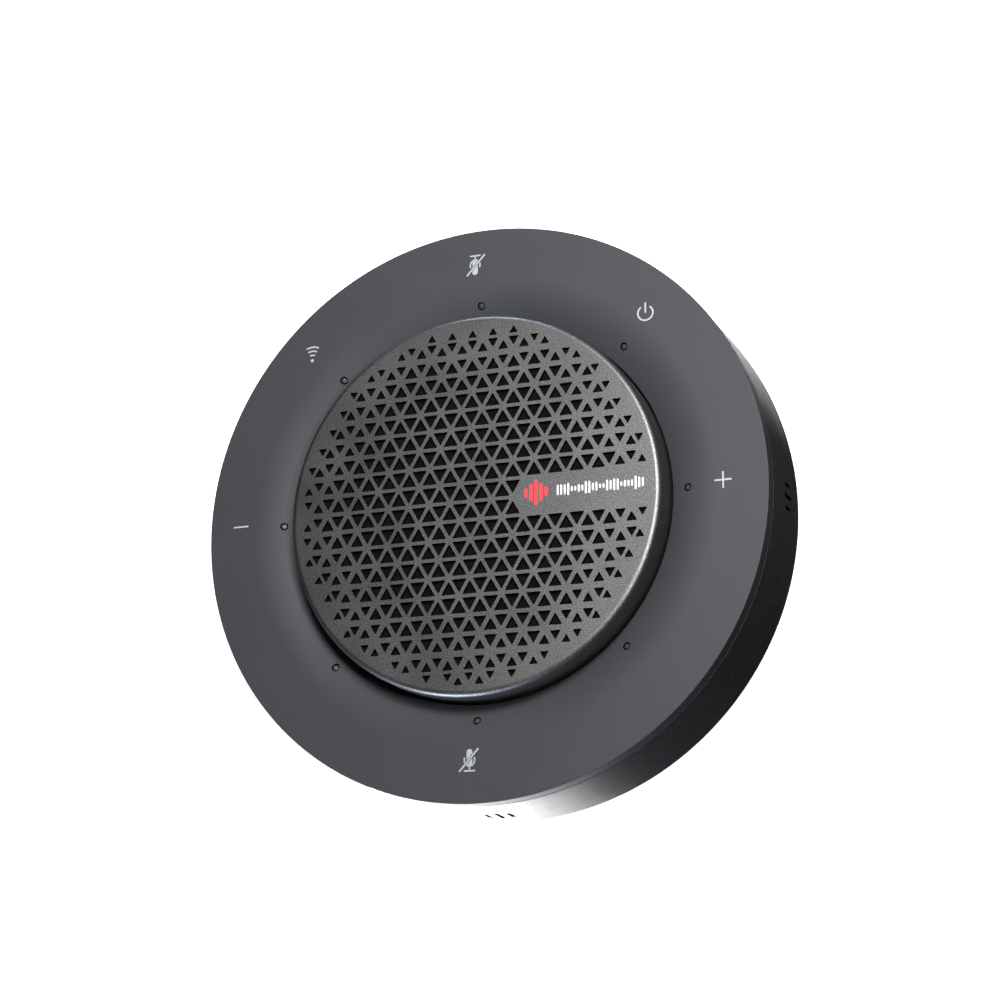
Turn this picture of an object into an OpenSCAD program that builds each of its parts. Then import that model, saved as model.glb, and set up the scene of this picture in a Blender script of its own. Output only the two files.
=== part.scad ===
// Round desk speakerphone: a touch ring around a raised perforated grille, a loudspeaker that
// fires up through it, four microphones in the side wall, a battery, a board and a USB-C inlet.
// The origin is on the table under the centre; +Y points at the upside-down mute key.

/* [Case] */
// Largest diameter, at the foot of the side wall
case_d = 120; // [114:1:144]
// Height of the touch ring's flat above the table
ring_z = 25; // [24:0.5:30]
// How far the side wall leans in from its foot to the seam
wall_lean = 0.65; // [0:0.05:2]
// Thickness of the side wall at the seam
wall_t = 2; // [1.6:0.1:2.6]
// Thickness of the case floor
floor_t = 2; // [1.6:0.1:2.4]
// Round between the side wall and the floor
bottom_round = 2.6; // [1.5:0.1:4]
// Open line between the touch ring and the lower shell
seam_gap = 0.25; // [0.15:0.05:0.5]

/* [Touch ring] */
// Height of the ring's skirt above the seam
skirt_h = 3.45; // [2.6:0.05:5]
// Wall thickness of the ring
ring_t = 1.8; // [1.4:0.1:2.4]
// Radius where the flat ends and rolls down to the grille
flat_r = 49.25; // [47:0.25:52]
// Radius of the roll in section
roll_r = 16.6; // [14:0.2:24]
// Radius of the opening at the lip
lip_r = 39.6; // [38.5:0.1:41]
// Thickness of the flange that hangs from the lip
flange_t = 1.4; // [1:0.1:1.8]

/* [Grille] */
// Gap between the lip and the grille's wall
grille_gap = 0.4; // [0.2:0.1:0.8]
// How far the grille's top stands above the ring's flat
grille_rise = 3.6; // [2.5:0.1:5]
// Sheet thickness of the grille
grille_t = 0.8; // [0.5:0.1:1]
// Outside round along the grille's edge
grille_round = 1.2; // [0.9:0.1:2]
// Pitch of the triangle lattice
tri_pitch = 4.42; // [4:0.02:5]
// Side of the largest triangles
tri_large = 3.05; // [2.6:0.05:3.3]
// Side of the middle triangles
tri_medium = 2.72; // [2.2:0.05:3]
// Side of the small triangles
tri_small = 2.13; // [1.8:0.05:2.5]
// Side of the last triangles at the rim
tri_rim = 1.76; // [1.4:0.05:2]
// Left end of the plain band that crosses to the right edge
band_x = 9.1; // [4:0.5:30]

/* [Lights] */
// Number of indicator lights
led_n = 8; // [4:1:8]
// Radius of the circle of lights
led_r = 43.07; // [42:0.1:45]
// Diameter of a light pipe
lens_d = 1.1; // [0.9:0.1:1.6]
// Radial gap round a light pipe
lens_gap = 0.18; // [0.1:0.02:0.3]

/* [Microphones] */
// Height of the slots' middle above the table
slot_z = 10.8; // [9:0.2:13]
// Length of the middle slot
slot_len = 5; // [3:0.2:6]
// Length of the outer slots
slot_side_len = 3.7; // [2:0.2:5]
// Width of a slot
slot_w = 0.8; // [0.5:0.1:1.2]
// Distance between slots along the wall
slot_pitch = 2.42; // [1.8:0.1:3]

/* [Loudspeaker] */
// Diameter of the driver's flange
driver_d = 57.2; // [54:0.2:58]
// Diameter of the voice coil's former, outside
coil_d = 19.8; // [19:0.2:21]
// Gap between the coil and the steel on each side
coil_gap = 0.35; // [0.3:0.05:0.5]
// Thickness of the cone
cone_t = 0.4; // [0.3:0.1:0.8]

/* [Electronics] */
// Direction of the USB-C inlet from the centre
usb_az = 135; // [100:5:150]
// Battery size across, along and up
battery = [20, 42, 10.5];
// Board thickness
board_t = 1.2; // [0.8:0.2:1.6]

/* [Foot] */
// Inner radius of the rubber foot
foot_in_r = 43.5; // [40:0.5:45]
// Width of the rubber foot
foot_w = 7; // [6:0.5:9]
// How far the foot stands below the case floor
foot_proud = 0.8; // [0.5:0.1:1.5]

/* [Hidden] */
$fn = 96;
eps = 0.01;

// Case radii and levels
case_r = case_d / 2;
ring_r = case_r - wall_lean;
inner_r = ring_r - wall_t;
seam_z = ring_z - skirt_h;
shell_top_z = seam_z - seam_gap;
floor_top_z = foot_proud + floor_t;
wall_foot_z = foot_proud + bottom_round;
ring_under_z = ring_z - ring_t;
edge_break = 0.2;
hair = 0.02;
bore_fn = 32;
tongue_t = 1.2;
tongue_h = 1.8;
tongue_fit = 0.1;
tongue_r = inner_r - tongue_fit;

// Mid frame: a plate that carries the driver, with a can that closes its air chamber
plate_t = 2;
plate_drop = 6.6;
plate_z = ring_z - plate_drop;
plate_r = tongue_r - tongue_t - 0.3;
can_t = 1.6;
driver_r = driver_d / 2;
can_in_r = driver_r + 0.7;
can_out_r = can_in_r + can_t;
seal_h = 0.8;
can_low_z = floor_top_z + seal_h;
mount_hole_r = 25.2;

// Grille levels
grille_r = lip_r - grille_gap;
grille_top_z = ring_z + grille_rise;
grille_low_z = plate_z + 1;
cloth_t = 0.4;
frame_t = 1.8;
frame_fit = 0.15;
frame_out_r = grille_r - grille_t - frame_fit;
frame_in_r = frame_out_r - frame_t;
cloth_z = grille_top_z - grille_t - cloth_t;
// The holes fill a round field whose middle lies a little towards -Y; its outermost rows on
// each side of the hexagon are pulled in
hole_limit_r = grille_r - 2.23;
hole_field_y = -0.12;
pull_from = 35;
pull_in = 0.7;
tri_h = tri_pitch * sqrt(3) / 2;
tri_rows = ceil(grille_r / tri_h);
tri_cols = ceil(grille_r / tri_pitch) + 1;
size_step_a = 22.1;
size_step_b = 28.8;
size_step_c = 34.6;

// Lights
lens_hole_r = lens_d / 2 + lens_gap;
roll_z = ring_z - roll_r;
lens_top_z = roll_z + sqrt(pow(roll_r, 2) - pow(flat_r - led_r, 2));
lens_collar_d = 2.4;
lens_collar_t = 0.4;
film_t = 0.2;
film_gap = 0.05;
film_notch = 0.4;
led_board_t = 1;
chip_w = 1.6;
chip_h = 0.6;
led_board_lift = 0.6;
led_board_z = plate_z + led_board_lift;
led_board_in_r = lip_r + flange_t + 0.4;
led_board_w = 7;
led_shelf_r = led_board_in_r + 5;
led_shelf_w = 1;
chip_top_z = led_board_z + led_board_t + chip_h;
lens_low_z = chip_top_z + 0.15;

// Fasteners
screw_d = 2;
screw_head_d = 3.8;
screw_head_h = 1.4;
screw_gap = 0.2;
thread_fit = 0.02;
screw_bite = 2.6;
case_screw_bite = 6;
pilot_depth = 9;
pilot_d = screw_d + 2 * thread_fit;
pass_d = screw_d + 2 * screw_gap;
column_r = 3;
case_screw_r = foot_in_r + foot_w / 2;
head_seat_z = 3.2;
land_t = 1.5;
column_low_z = head_seat_z + land_t;
ring_boss_w = 2;
ring_boss_r = plate_r - ring_boss_w - 0.6;
ring_boss_n = 4;
ring_screw_turn = 22.5;
speaker_screw_r = driver_r + 1;
speaker_ear_r = 2.7;
speaker_screw_n = 4;
case_screw_n = 4;

// Foot
foot_recess = 0.6;
foot_fit = 0.1;

// Driver, from the flange down
flange_z = plate_z;
flange_thk = 1;
surround_z = flange_z + flange_thk;
surround_t = 0.4;
surround_in_r = 19.6;
surround_out_r = 27.4;
roll_in_r = 21.4;
roll_out_r = 25.2;
coil_r = coil_d / 2;
former_t = 0.2;
winding_t = 0.4;
winding_h = 2.8;
former_tail = 0.4;
cone_out_r = 21.2;
neck_z = plate_z - 3.6;
cone_edge_z = surround_z - cone_t;
cone_rise = (cone_edge_z - neck_z) / (cone_out_r - coil_r);
cap_r = 10.9;
cap_rise = 3.4;
cap_t = 0.35;
cap_inner_part = 0.985;
cap_foot_z = neck_z + cone_rise * (cap_r - coil_r) + cone_t + hair;
spider_z = plate_z - 5.1;
spider_t = 0.35;
spider_out_r = 17.6;
spider_waves = 3;
spider_wave_h = 0.55;
motor_top_z = plate_z - 7.2;
plate_thk = 2;
magnet_h = 4;
yoke_floor_t = 1.6;
pole_r = coil_r - former_t - coil_gap;
magnet_r = pole_r - 0.4;
yoke_in_r = coil_r + winding_t + coil_gap;
yoke_out_r = yoke_in_r + 2.5;
yoke_low_z = motor_top_z - plate_thk - magnet_h - yoke_floor_t;
winding_z = motor_top_z - plate_thk / 2 - winding_h / 2;
former_z = winding_z - former_tail;
basket_windows = 6;
window_w = 7;
window_deep = 6;
window_h = 2.8;

// Boards and battery
board_z = 6.2;
board_in_r = can_out_r + 0.8;
board_out_r = inner_r - 5.4;
board_from = 22;
board_to = 168;
board_screw_r = 36;
board_screw_az = [32, 70, 112, 158];
board_tab_w = 15;
board_post_r = 2.4;
processor_r = 42;
processor_az = 58;
processor_size = [9, 9, 1];
amplifier_r = 46;
amplifier_az = 103.5;
amplifier_size = [5, 5, 0.9];
radio_r = board_out_r - 7.5;
radio_az = 38;
radio_size = [12, 10, 1.8];
usb_w = 8.94;
usb_h = 3.26;
usb_wall = 0.3;
usb_len = 7.35;
usb_out_r = inner_r + 0.9;
usb_z = board_z + board_t + usb_h / 2;
usb_hole_gap = 0.35;
usb_rim = 1.3;
usb_cut = 8;
usb_base_t = 1.6;
usb_tongue_size = [6.69, 0.7, 4.6];
header_r = 44;
header_az = 158;
header = [4.5, 8, 5];
wire_r = 43;
lead_d = 1.2;
lead_bend = 1.5;
lead_az = 128;
lead_z = spider_z - 2.4;
flex_az = 74;
flex_r = 44.5;
flex_w = 6;
flex_t = 0.3;
flex_header_h = 1.6;
battery_az = 225;
battery_r = can_out_r + 1.2;
battery_z = floor_top_z + 0.8;

// Microphones
mic_n = 4;
mic_w = 9;
mic_h = 7.6;
mic_boot_t = 2;
mic_board_t = 1;
mic_boot_gap = 0.05;
mic_r = inner_r - mic_boot_t;
mic_port_r = 1;
mic_rib_t = 1;
mic_rib_gap = 0.15;
mic_rib_h = slot_z + mic_h / 2 - floor_top_z;
mic_cup_w = 1.6;
mic_can = [1.1, 3.8, 2.8];

// Puts its children at count places round the axis
module around(count, turn = 0) {
    for (i = [0:count - 1])
        rotate([0, 0, turn + i * 360 / count])
            children();
}

// Flat ring from one radius to another
module tube(in_r, out_r, h) {
    difference() {
        cylinder(r = out_r, h = h);
        translate([0, 0, -eps])
            cylinder(r = in_r, h = h + 2 * eps);
    }
}

// Screw with a pan head below and its shank up
module screw(shank) {
    cylinder(d = screw_head_d, h = screw_head_h);
    translate([0, 0, screw_head_h - eps])
        cylinder(d = screw_d, h = shank + eps);
}

// Points of an arc about a centre, from one angle to another
function arc(c, r, from, to, steps = 24) =
    [for (i = [0:steps]) let (a = from + (to - from) * i / steps) c + r * [cos(a), sin(a)]];

// The same points in the opposite order
function back(points) = [for (i = [len(points) - 1:-1:0]) points[i]];

// Roll of the ring in section, from the lip out to the flat
function roll(r, in_r) = let (a = acos((flat_r - in_r) / r))
    arc([flat_r, roll_z], r, 180 - a, 90, 16);

// ---- Touch ring ----

module ring_section() {
    polygon(concat(
        [[lip_r, plate_z]],
        roll(roll_r, lip_r),
        arc([ring_r - edge_break, ring_z - edge_break], edge_break, 90, 0, 6),
        [[ring_r, seam_z],
         [tongue_r, seam_z],
         [tongue_r, seam_z - tongue_h],
         [tongue_r - tongue_t, seam_z - tongue_h],
         [tongue_r - tongue_t, ring_under_z]],
        back(roll(roll_r - ring_t, lip_r + flange_t)),
        [[lip_r + flange_t, plate_z]]));
}

module top_ring() {
    color("dimgray")
        difference() {
            union() {
                rotate_extrude()
                    ring_section();
                around(ring_boss_n, ring_screw_turn)
                    translate([ring_boss_r, 0, plate_z])
                        cylinder(r = ring_boss_w, h = ring_under_z - plate_z + eps);
            }
            around(led_n)
                translate([led_r, 0, plate_z])
                    cylinder(r = lens_hole_r, h = ring_z, $fn = bore_fn);
            around(ring_boss_n, ring_screw_turn)
                translate([ring_boss_r, 0, plate_z - eps])
                    cylinder(d = pilot_d, h = ring_under_z - plate_z, $fn = bore_fn);
        }
}

module led_lens(i) {
    color("gray")
        rotate([0, 0, (i - 1) * 360 / led_n])
            translate([led_r, 0, lens_low_z]) {
                cylinder(d = lens_d, h = lens_top_z - lens_low_z, $fn = bore_fn);
                cylinder(d = lens_collar_d, h = lens_collar_t, $fn = bore_fn);
            }
}

module touch_film() {
    color("goldenrod")
        translate([0, 0, ring_under_z - film_t - film_gap])
            difference() {
                tube(flat_r + 0.3, tongue_r - tongue_t - film_notch, film_t);
                around(ring_boss_n, ring_screw_turn)
                    translate([ring_boss_r, 0, -eps]) {
                        cylinder(r = ring_boss_w + film_notch, h = 1);
                        translate([0, -ring_boss_w - film_notch, 0])
                            cube([3 * ring_boss_w, 2 * (ring_boss_w + film_notch), 1]);
                    }
            }
}

module led_board() {
    color("darkgreen") {
        translate([0, 0, led_board_z])
            tube(led_board_in_r, led_board_in_r + led_board_w, led_board_t);
        around(led_n)
            translate([led_r - chip_w / 2, -chip_w / 2, led_board_z + led_board_t - eps])
                cube([chip_w, chip_w, chip_h + eps]);
    }
}

// ---- Grille ----

// Distance from the centre measured across a hexagon with level sides
function hex_dist(p) = max(abs(p.y), abs(p.y) / 2 + abs(p.x) * sqrt(3) / 2);

// Side of the hole whose middle is at p, smaller towards the rim
function hole_side(p) =
    norm(p) > size_step_c ? tri_rim :
    hex_dist(p) > size_step_b ? tri_small :
    hex_dist(p) > size_step_a ? tri_medium : tri_large;

// Middle of the triangle in row and column, pointing up (dir 1) or down (dir -1)
function hole_centre(row, col, dir) =
    [(col + (abs(row) % 2) / 2 + (dir > 0 ? 0.5 : 0)) * tri_pitch,
     (row + (dir > 0 ? 1 / 3 : 2 / 3)) * tri_h];

// True where the sheet is pierced: inside the round field and off the plain band
function pierced(p) =
    norm(p - [0, hole_field_y]) < hole_limit_r && !(abs(p.y) < tri_h && p.x > band_x);

// Where the hole of lattice place p is punched
function punched(p) = let (side_az = 60 * floor(atan2(p.y, p.x) / 60) + 30)
    hex_dist(p) > pull_from ? p - pull_in * [cos(side_az), sin(side_az)] : p;

module triangle(p, dir) {
    reach = hole_side(p) / sqrt(3);
    translate(punched(p))
        polygon([for (k = [0:2]) reach * [cos(dir * 90 + k * 120), sin(dir * 90 + k * 120)]]);
}

module hole_pattern() {
    for (row = [-tri_rows:tri_rows - 1], col = [-tri_cols:tri_cols], dir = [-1, 1]) {
        p = hole_centre(row, col, dir);
        if (pierced(p))
            triangle(p, dir);
    }
}

module grille_edge_section() {
    mid = grille_r - grille_round;
    polygon(concat(
        arc([mid, grille_top_z - grille_round], grille_round, 90, 0, 12),
        [[grille_r, grille_low_z],
         [grille_r - grille_t, grille_low_z]],
        arc([mid, grille_top_z - grille_round], grille_round - grille_t, 0, 90, 12)));
}

module speaker_grille() {
    color("silver") {
        translate([0, 0, grille_top_z - grille_t])
            linear_extrude(grille_t)
                difference() {
                    circle(r = grille_r - grille_round + eps, $fn = 180);
                    hole_pattern();
                }
        rotate_extrude($fn = 180)
            grille_edge_section();
    }
}

module grille_cloth() {
    color("black")
        translate([0, 0, cloth_z])
            cylinder(r = frame_out_r - 0.5, h = cloth_t - hair);
}

module grille_frame() {
    color("darkslategray")
        translate([0, 0, plate_z])
            tube(frame_in_r, frame_out_r, cloth_z - plate_z);
}

// ---- Mid frame ----

module mid_frame() {
    color("slategray")
        difference() {
            union() {
                translate([0, 0, plate_z - plate_t])
                    tube(mount_hole_r, plate_r, plate_t);
                translate([0, 0, can_low_z])
                    tube(can_in_r, can_out_r, plate_z - plate_t - can_low_z + eps);
                around(case_screw_n)
                    translate([case_screw_r, 0, column_low_z])
                        cylinder(r = column_r, h = plate_z - plate_t - column_low_z + eps);
                translate([0, 0, plate_z - eps])
                    tube(led_shelf_r, led_shelf_r + led_shelf_w, led_board_lift);
            }
            around(case_screw_n)
                translate([case_screw_r, 0, column_low_z - eps])
                    cylinder(d = pilot_d, h = pilot_depth, $fn = bore_fn);
            around(ring_boss_n, ring_screw_turn)
                translate([ring_boss_r, 0, plate_z - plate_t - eps])
                    cylinder(d = pass_d, h = plate_t + 1, $fn = bore_fn);
            around(speaker_screw_n, 45)
                translate([speaker_screw_r, 0, plate_z - plate_t - eps])
                    cylinder(d = pilot_d, h = plate_t + 1, $fn = bore_fn);
            rotate([0, 0, flex_az])
                translate([flex_r - 1, -flex_w / 2 - 1, plate_z - plate_t - eps])
                    cube([flex_t + 2, flex_w + 2, plate_t + 1]);
            rotate([0, 0, lead_az])
                translate([can_in_r - 2, 0, lead_z])
                    rotate([0, 90, 0])
                        cylinder(d = lead_d + 0.4, h = 6, $fn = bore_fn);
        }
}

module ring_screws() {
    color("silver")
        around(ring_boss_n, ring_screw_turn)
            translate([ring_boss_r, 0, plate_z - plate_t - screw_head_h])
                screw(plate_t + screw_bite);
}

module chamber_seal() {
    color("black")
        translate([0, 0, floor_top_z])
            tube(can_in_r + 0.1, can_out_r - 0.1, seal_h);
}

// ---- Lower shell ----

module shell_section() {
    floor_fillet = 1;
    polygon(concat(
        [[0, foot_proud]],
        arc([case_r - bottom_round, wall_foot_z], bottom_round, -90, 0, 16),
        [[ring_r, shell_top_z],
         [inner_r, shell_top_z]],
        arc([inner_r - floor_fillet, floor_top_z + floor_fillet], floor_fillet, 0, -90, 8),
        [[0, floor_top_z]]));
}

// Upright slot with round ends, cut outward from the inside of the wall
module slot_cut(length) {
    translate([inner_r - 1, 0, slot_z])
        rotate([90, 0, 90])
            linear_extrude(6) {
                square([slot_w, length - slot_w], center = true);
                for (side = [-1, 1])
                    translate([0, side * (length - slot_w) / 2])
                        circle(d = slot_w, $fn = 24);
            }
}

module mic_slots() {
    step = slot_pitch / case_r * 180 / PI;
    slot_cut(slot_len);
    for (side = [-1, 1])
        rotate([0, 0, side * step])
            slot_cut(slot_side_len);
}

// Plug outline: a rectangle with full round ends
module stadium(w, h) {
    square([w - h, h], center = true);
    for (side = [-1, 1])
        translate([side * (w - h) / 2, 0])
            circle(d = h, $fn = 48);
}

// Carries its children out along the inlet's axis, x across and y up
module at_usb(r) {
    rotate([0, 0, usb_az])
        translate([r, 0, usb_z])
            rotate([90, 0, 90])
                children();
}

module lower_shell() {
    color("black")
        difference() {
            union() {
                rotate_extrude()
                    shell_section();
                around(case_screw_n)
                    translate([case_screw_r, 0, floor_top_z - eps])
                        cylinder(r = column_r, h = column_low_z - floor_top_z);
                for (az = board_screw_az)
                    rotate([0, 0, az])
                        translate([board_screw_r, 0, floor_top_z - eps])
                            cylinder(r = board_post_r, h = board_z - floor_top_z);
                around(mic_n)
                    for (side = [0, 1])
                        mirror([0, side, 0])
                            translate([mic_r - mic_board_t, mic_w / 2 + mic_rib_gap, floor_top_z - eps])
                                cube([mic_boot_t + mic_board_t, mic_rib_t, mic_rib_h]);
            }
            translate([0, 0, foot_proud - eps])
                tube(foot_in_r - foot_fit, foot_in_r + foot_w + foot_fit, foot_recess + eps);
            around(mic_n)
                mic_slots();
            around(case_screw_n)
                translate([case_screw_r, 0, foot_proud]) {
                    cylinder(d = screw_head_d + 2 * screw_gap, h = head_seat_z - foot_proud);
                    cylinder(d = pass_d, h = pilot_depth, $fn = bore_fn);
                }
            for (az = board_screw_az)
                rotate([0, 0, az])
                    translate([board_screw_r, 0, floor_top_z])
                        cylinder(d = pilot_d, h = pilot_depth, $fn = bore_fn);
            at_usb(inner_r - 2)
                linear_extrude(usb_cut)
                    stadium(usb_w + 2 * usb_hole_gap, usb_h + 2 * usb_hole_gap);
            at_usb(usb_out_r)
                linear_extrude(usb_cut)
                    stadium(usb_w + 2 * usb_rim, usb_h + 2 * usb_rim);
        }
}

module foot_ring() {
    color("darkslategray")
        difference() {
            tube(foot_in_r, foot_in_r + foot_w, foot_proud + foot_recess);
            translate([0, 0, -eps])
                tube(foot_in_r + foot_w / 2 - 0.4, foot_in_r + foot_w / 2 + 0.4, 0.3);
        }
}

module case_screws() {
    color("silver")
        around(case_screw_n)
            translate([case_screw_r, 0, head_seat_z - screw_head_h])
                screw(land_t + case_screw_bite);
}

// ---- Loudspeaker ----

module basket_section() {
    ledge_z = spider_z - 0.9;
    hub_r = yoke_out_r + 1.6;
    rim_r = roll_out_r + 0.4;
    polygon([
        [rim_r, surround_z],
        [driver_r, surround_z],
        [driver_r, flange_z],
        [mount_hole_r - 0.2, flange_z],
        [spider_out_r + 1.8, ledge_z + 1],
        [spider_out_r + 0.8, ledge_z],
        [hub_r, ledge_z - 1.2],
        [hub_r, motor_top_z - 2.4],
        [yoke_out_r + hair, motor_top_z - 2.4],
        [yoke_out_r + hair, motor_top_z - 0.2],
        [yoke_out_r + 0.9, motor_top_z - 0.2],
        [spider_out_r - 1.4, ledge_z],
        [spider_out_r - 1.4, spider_z],
        [spider_out_r + 0.6, spider_z],
        [spider_out_r + 1.1, spider_z + 0.4],
        [mount_hole_r - 1.8, surround_z - 1.4],
        [rim_r, surround_z - 0.9]]);
}

module speaker_basket() {
    color("dimgray")
        difference() {
            union() {
                rotate_extrude()
                    basket_section();
                around(speaker_screw_n, 45)
                    translate([speaker_screw_r, 0, flange_z])
                        cylinder(r = speaker_ear_r, h = flange_thk);
            }
            around(speaker_screw_n, 45)
                translate([speaker_screw_r, 0, flange_z - eps])
                    cylinder(d = pass_d, h = 3, $fn = bore_fn);
            around(basket_windows)
                translate([spider_out_r + 1.2, -window_w / 2, spider_z + 0.9])
                    cube([window_deep, window_w, window_h]);
        }
}

module speaker_gasket() {
    color("black")
        translate([0, 0, surround_z + surround_t])
            tube(roll_out_r + 0.5, surround_out_r, 1.4);
}

module speaker_screws() {
    color("silver")
        around(speaker_screw_n, 45)
            translate([speaker_screw_r, 0, flange_z + flange_thk + screw_head_h])
                rotate([180, 0, 0])
                    screw(flange_thk + plate_t);
}

module surround() {
    mid = (roll_in_r + roll_out_r) / 2;
    half = (roll_out_r - roll_in_r) / 2;
    color("black")
        rotate_extrude()
            polygon(concat(
                [[surround_in_r, surround_z + surround_t],
                 [surround_in_r, surround_z]],
                [[roll_in_r, surround_z]],
                arc([mid, surround_z], half - surround_t, 180, 0, 20),
                [[surround_out_r, surround_z],
                 [surround_out_r, surround_z + surround_t],
                 [roll_out_r, surround_z + surround_t]],
                arc([mid, surround_z], half, 15, 165, 20),
                [[roll_in_r, surround_z + surround_t]]));
}

module cone() {
    color("darkslategray")
        rotate_extrude()
            polygon([
                [coil_r + hair, neck_z],
                [cone_out_r, cone_edge_z],
                [cone_out_r, cone_edge_z + cone_t - hair],
                [coil_r + hair, neck_z + cone_t - hair]]);
}

module dust_cap() {
    ball = (pow(cap_r, 2) + pow(cap_rise, 2)) / (2 * cap_rise);
    half = asin(cap_r / ball);
    centre = [0, cap_foot_z + cap_rise - ball];
    color("gray")
        rotate_extrude()
            polygon(concat(
                arc(centre, ball, 90, 90 - half, 20),
                [for (p = arc(centre, ball - cap_t, 90 - half * cap_inner_part, 90, 20))
                    [max(p.x, 0), max(p.y, cap_foot_z)]]));
}

module coil_former() {
    color("tan")
        translate([0, 0, former_z])
            tube(coil_r - former_t, coil_r, neck_z + cone_t - former_z);
}

module coil_winding() {
    color("chocolate")
        translate([0, 0, winding_z])
            tube(coil_r + 0.01, coil_r + winding_t, winding_h);
}

// Height of the spider's middle line at radius r: flat lands with waves between
function spider_wave(r, in_r, out_r) =
    spider_wave_h * sin(360 * spider_waves * (r - in_r) / (out_r - in_r)) / 2;

module spider() {
    in_r = coil_r + 0.03;
    wave_in = in_r + 0.8;
    wave_out = spider_out_r - 1.4;
    n = 48;
    line = [for (i = [0:n]) let (r = wave_in + (wave_out - wave_in) * i / n)
        [r, spider_z + spider_wave(r, wave_in, wave_out)]];
    color("khaki")
        rotate_extrude()
            polygon(concat(
                [[in_r, spider_z]], line, [[spider_out_r, spider_z]],
                [[spider_out_r, spider_z + spider_t]],
                [for (i = [n:-1:0]) line[i] + [0, spider_t]],
                [[in_r, spider_z + spider_t]]));
}

module top_plate() {
    color("silver")
        translate([0, 0, motor_top_z - plate_thk])
            cylinder(r = pole_r, h = plate_thk);
}

module magnet() {
    color("gray")
        translate([0, 0, motor_top_z - plate_thk - magnet_h])
            cylinder(r = magnet_r, h = magnet_h);
}

module yoke() {
    color("silver")
        translate([0, 0, yoke_low_z])
            difference() {
                cylinder(r = yoke_out_r, h = motor_top_z - yoke_low_z);
                translate([0, 0, yoke_floor_t])
                    cylinder(r = yoke_in_r, h = motor_top_z);
            }
}

// ---- Electronics ----

module main_board() {
    color("darkgreen")
        translate([0, 0, board_z])
            difference() {
                union() {
                    rotate([0, 0, board_from])
                        rotate_extrude(angle = board_to - board_from)
                            translate([board_in_r, 0])
                                square([board_out_r - board_in_r, board_t]);
                    rotate([0, 0, usb_az])
                        translate([board_out_r - 3, -board_tab_w / 2, 0])
                            cube([usb_out_r - board_out_r + 0.6, board_tab_w, board_t]);
                }
                translate([0, case_screw_r, -eps])
                    cylinder(r = column_r + 0.5, h = 3);
                for (az = board_screw_az)
                    rotate([0, 0, az])
                        translate([board_screw_r, 0, -eps])
                            cylinder(d = pass_d, h = 3, $fn = bore_fn);
            }
}

module board_screws() {
    color("silver")
        for (az = board_screw_az)
            rotate([0, 0, az])
                translate([board_screw_r, 0, board_z + board_t + screw_head_h])
                    rotate([180, 0, 0])
                        screw(board_t + screw_bite);
}

// Flat package on the board, with its middle at radius r and azimuth az
module package(r, az, size) {
    rotate([0, 0, az])
        translate([r - size.x / 2, -size.y / 2, board_z + board_t])
            cube(size);
}

module processor() {
    color("black")
        package(processor_r, processor_az, processor_size);
}

module amplifier() {
    color("black")
        package(amplifier_r, amplifier_az, amplifier_size);
}

module radio_can() {
    color("silver")
        package(radio_r, radio_az, radio_size);
}

module battery_header() {
    color("ivory")
        package(header_r, header_az, header);
}

module battery_lead() {
    from = header_az + asin(header.y / 2 / wire_r) + 0.2;
    to = battery_az - asin(battery.y / 2 / wire_r) - 0.8;
    color("red")
        rotate([0, 0, from])
            translate([0, 0, board_z + board_t + header.z / 2])
                rotate_extrude(angle = to - from)
                    translate([wire_r, 0])
                        circle(d = lead_d, $fn = 24);
}

module speaker_lead() {
    down_r = can_out_r + 3;
    start_r = spider_out_r + 2;
    low_z = board_z + board_t + hair;
    color("black")
        rotate([0, 0, lead_az]) {
            translate([start_r, 0, lead_z])
                rotate([0, 90, 0])
                    cylinder(d = lead_d, h = down_r - lead_bend - start_r, $fn = 24);
            translate([down_r - lead_bend, 0, lead_z - lead_bend])
                rotate([90, 0, 0])
                    rotate_extrude(angle = 90)
                        translate([lead_bend, 0])
                            circle(d = lead_d, $fn = 24);
            translate([down_r, 0, low_z])
                cylinder(d = lead_d, h = lead_z - lead_bend - low_z, $fn = 24);
        }
}

module led_header() {
    color("ivory")
        package(flex_r + flex_t / 2, flex_az, [3, flex_w + 2, flex_header_h]);
}

module led_flex() {
    low_z = board_z + board_t + flex_header_h + hair;
    color("orange")
        rotate([0, 0, flex_az])
            translate([flex_r, -flex_w / 2, low_z])
                cube([flex_t, flex_w, led_board_z - low_z - hair]);
}

module usb_shell() {
    color("silver")
        at_usb(usb_out_r - usb_len)
            linear_extrude(usb_len)
                difference() {
                    stadium(usb_w, usb_h);
                    stadium(usb_w - 2 * usb_wall, usb_h - 2 * usb_wall);
                }
}

module usb_tongue() {
    inner_w = usb_w - 2 * usb_wall - 0.1;
    inner_h = usb_h - 2 * usb_wall - 0.1;
    color("black")
        at_usb(usb_out_r - usb_len) {
            linear_extrude(usb_base_t)
                stadium(inner_w, inner_h);
            translate([-usb_tongue_size.x / 2, -usb_tongue_size.y / 2, usb_base_t - eps])
                cube(usb_tongue_size);
        }
}

module battery_pack() {
    color("steelblue")
        rotate([0, 0, battery_az])
            translate([battery_r, -battery.y / 2, battery_z])
                cube(battery);
}

module battery_pad() {
    color("gray")
        rotate([0, 0, battery_az])
            translate([battery_r + 1, -battery.y / 2 + 1, floor_top_z])
                cube([battery.x - 2, battery.y - 2, battery_z - floor_top_z]);
}

// ---- Microphones ----

module at_mic(i) {
    rotate([0, 0, (i - 1) * 360 / mic_n])
        children();
}

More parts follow.
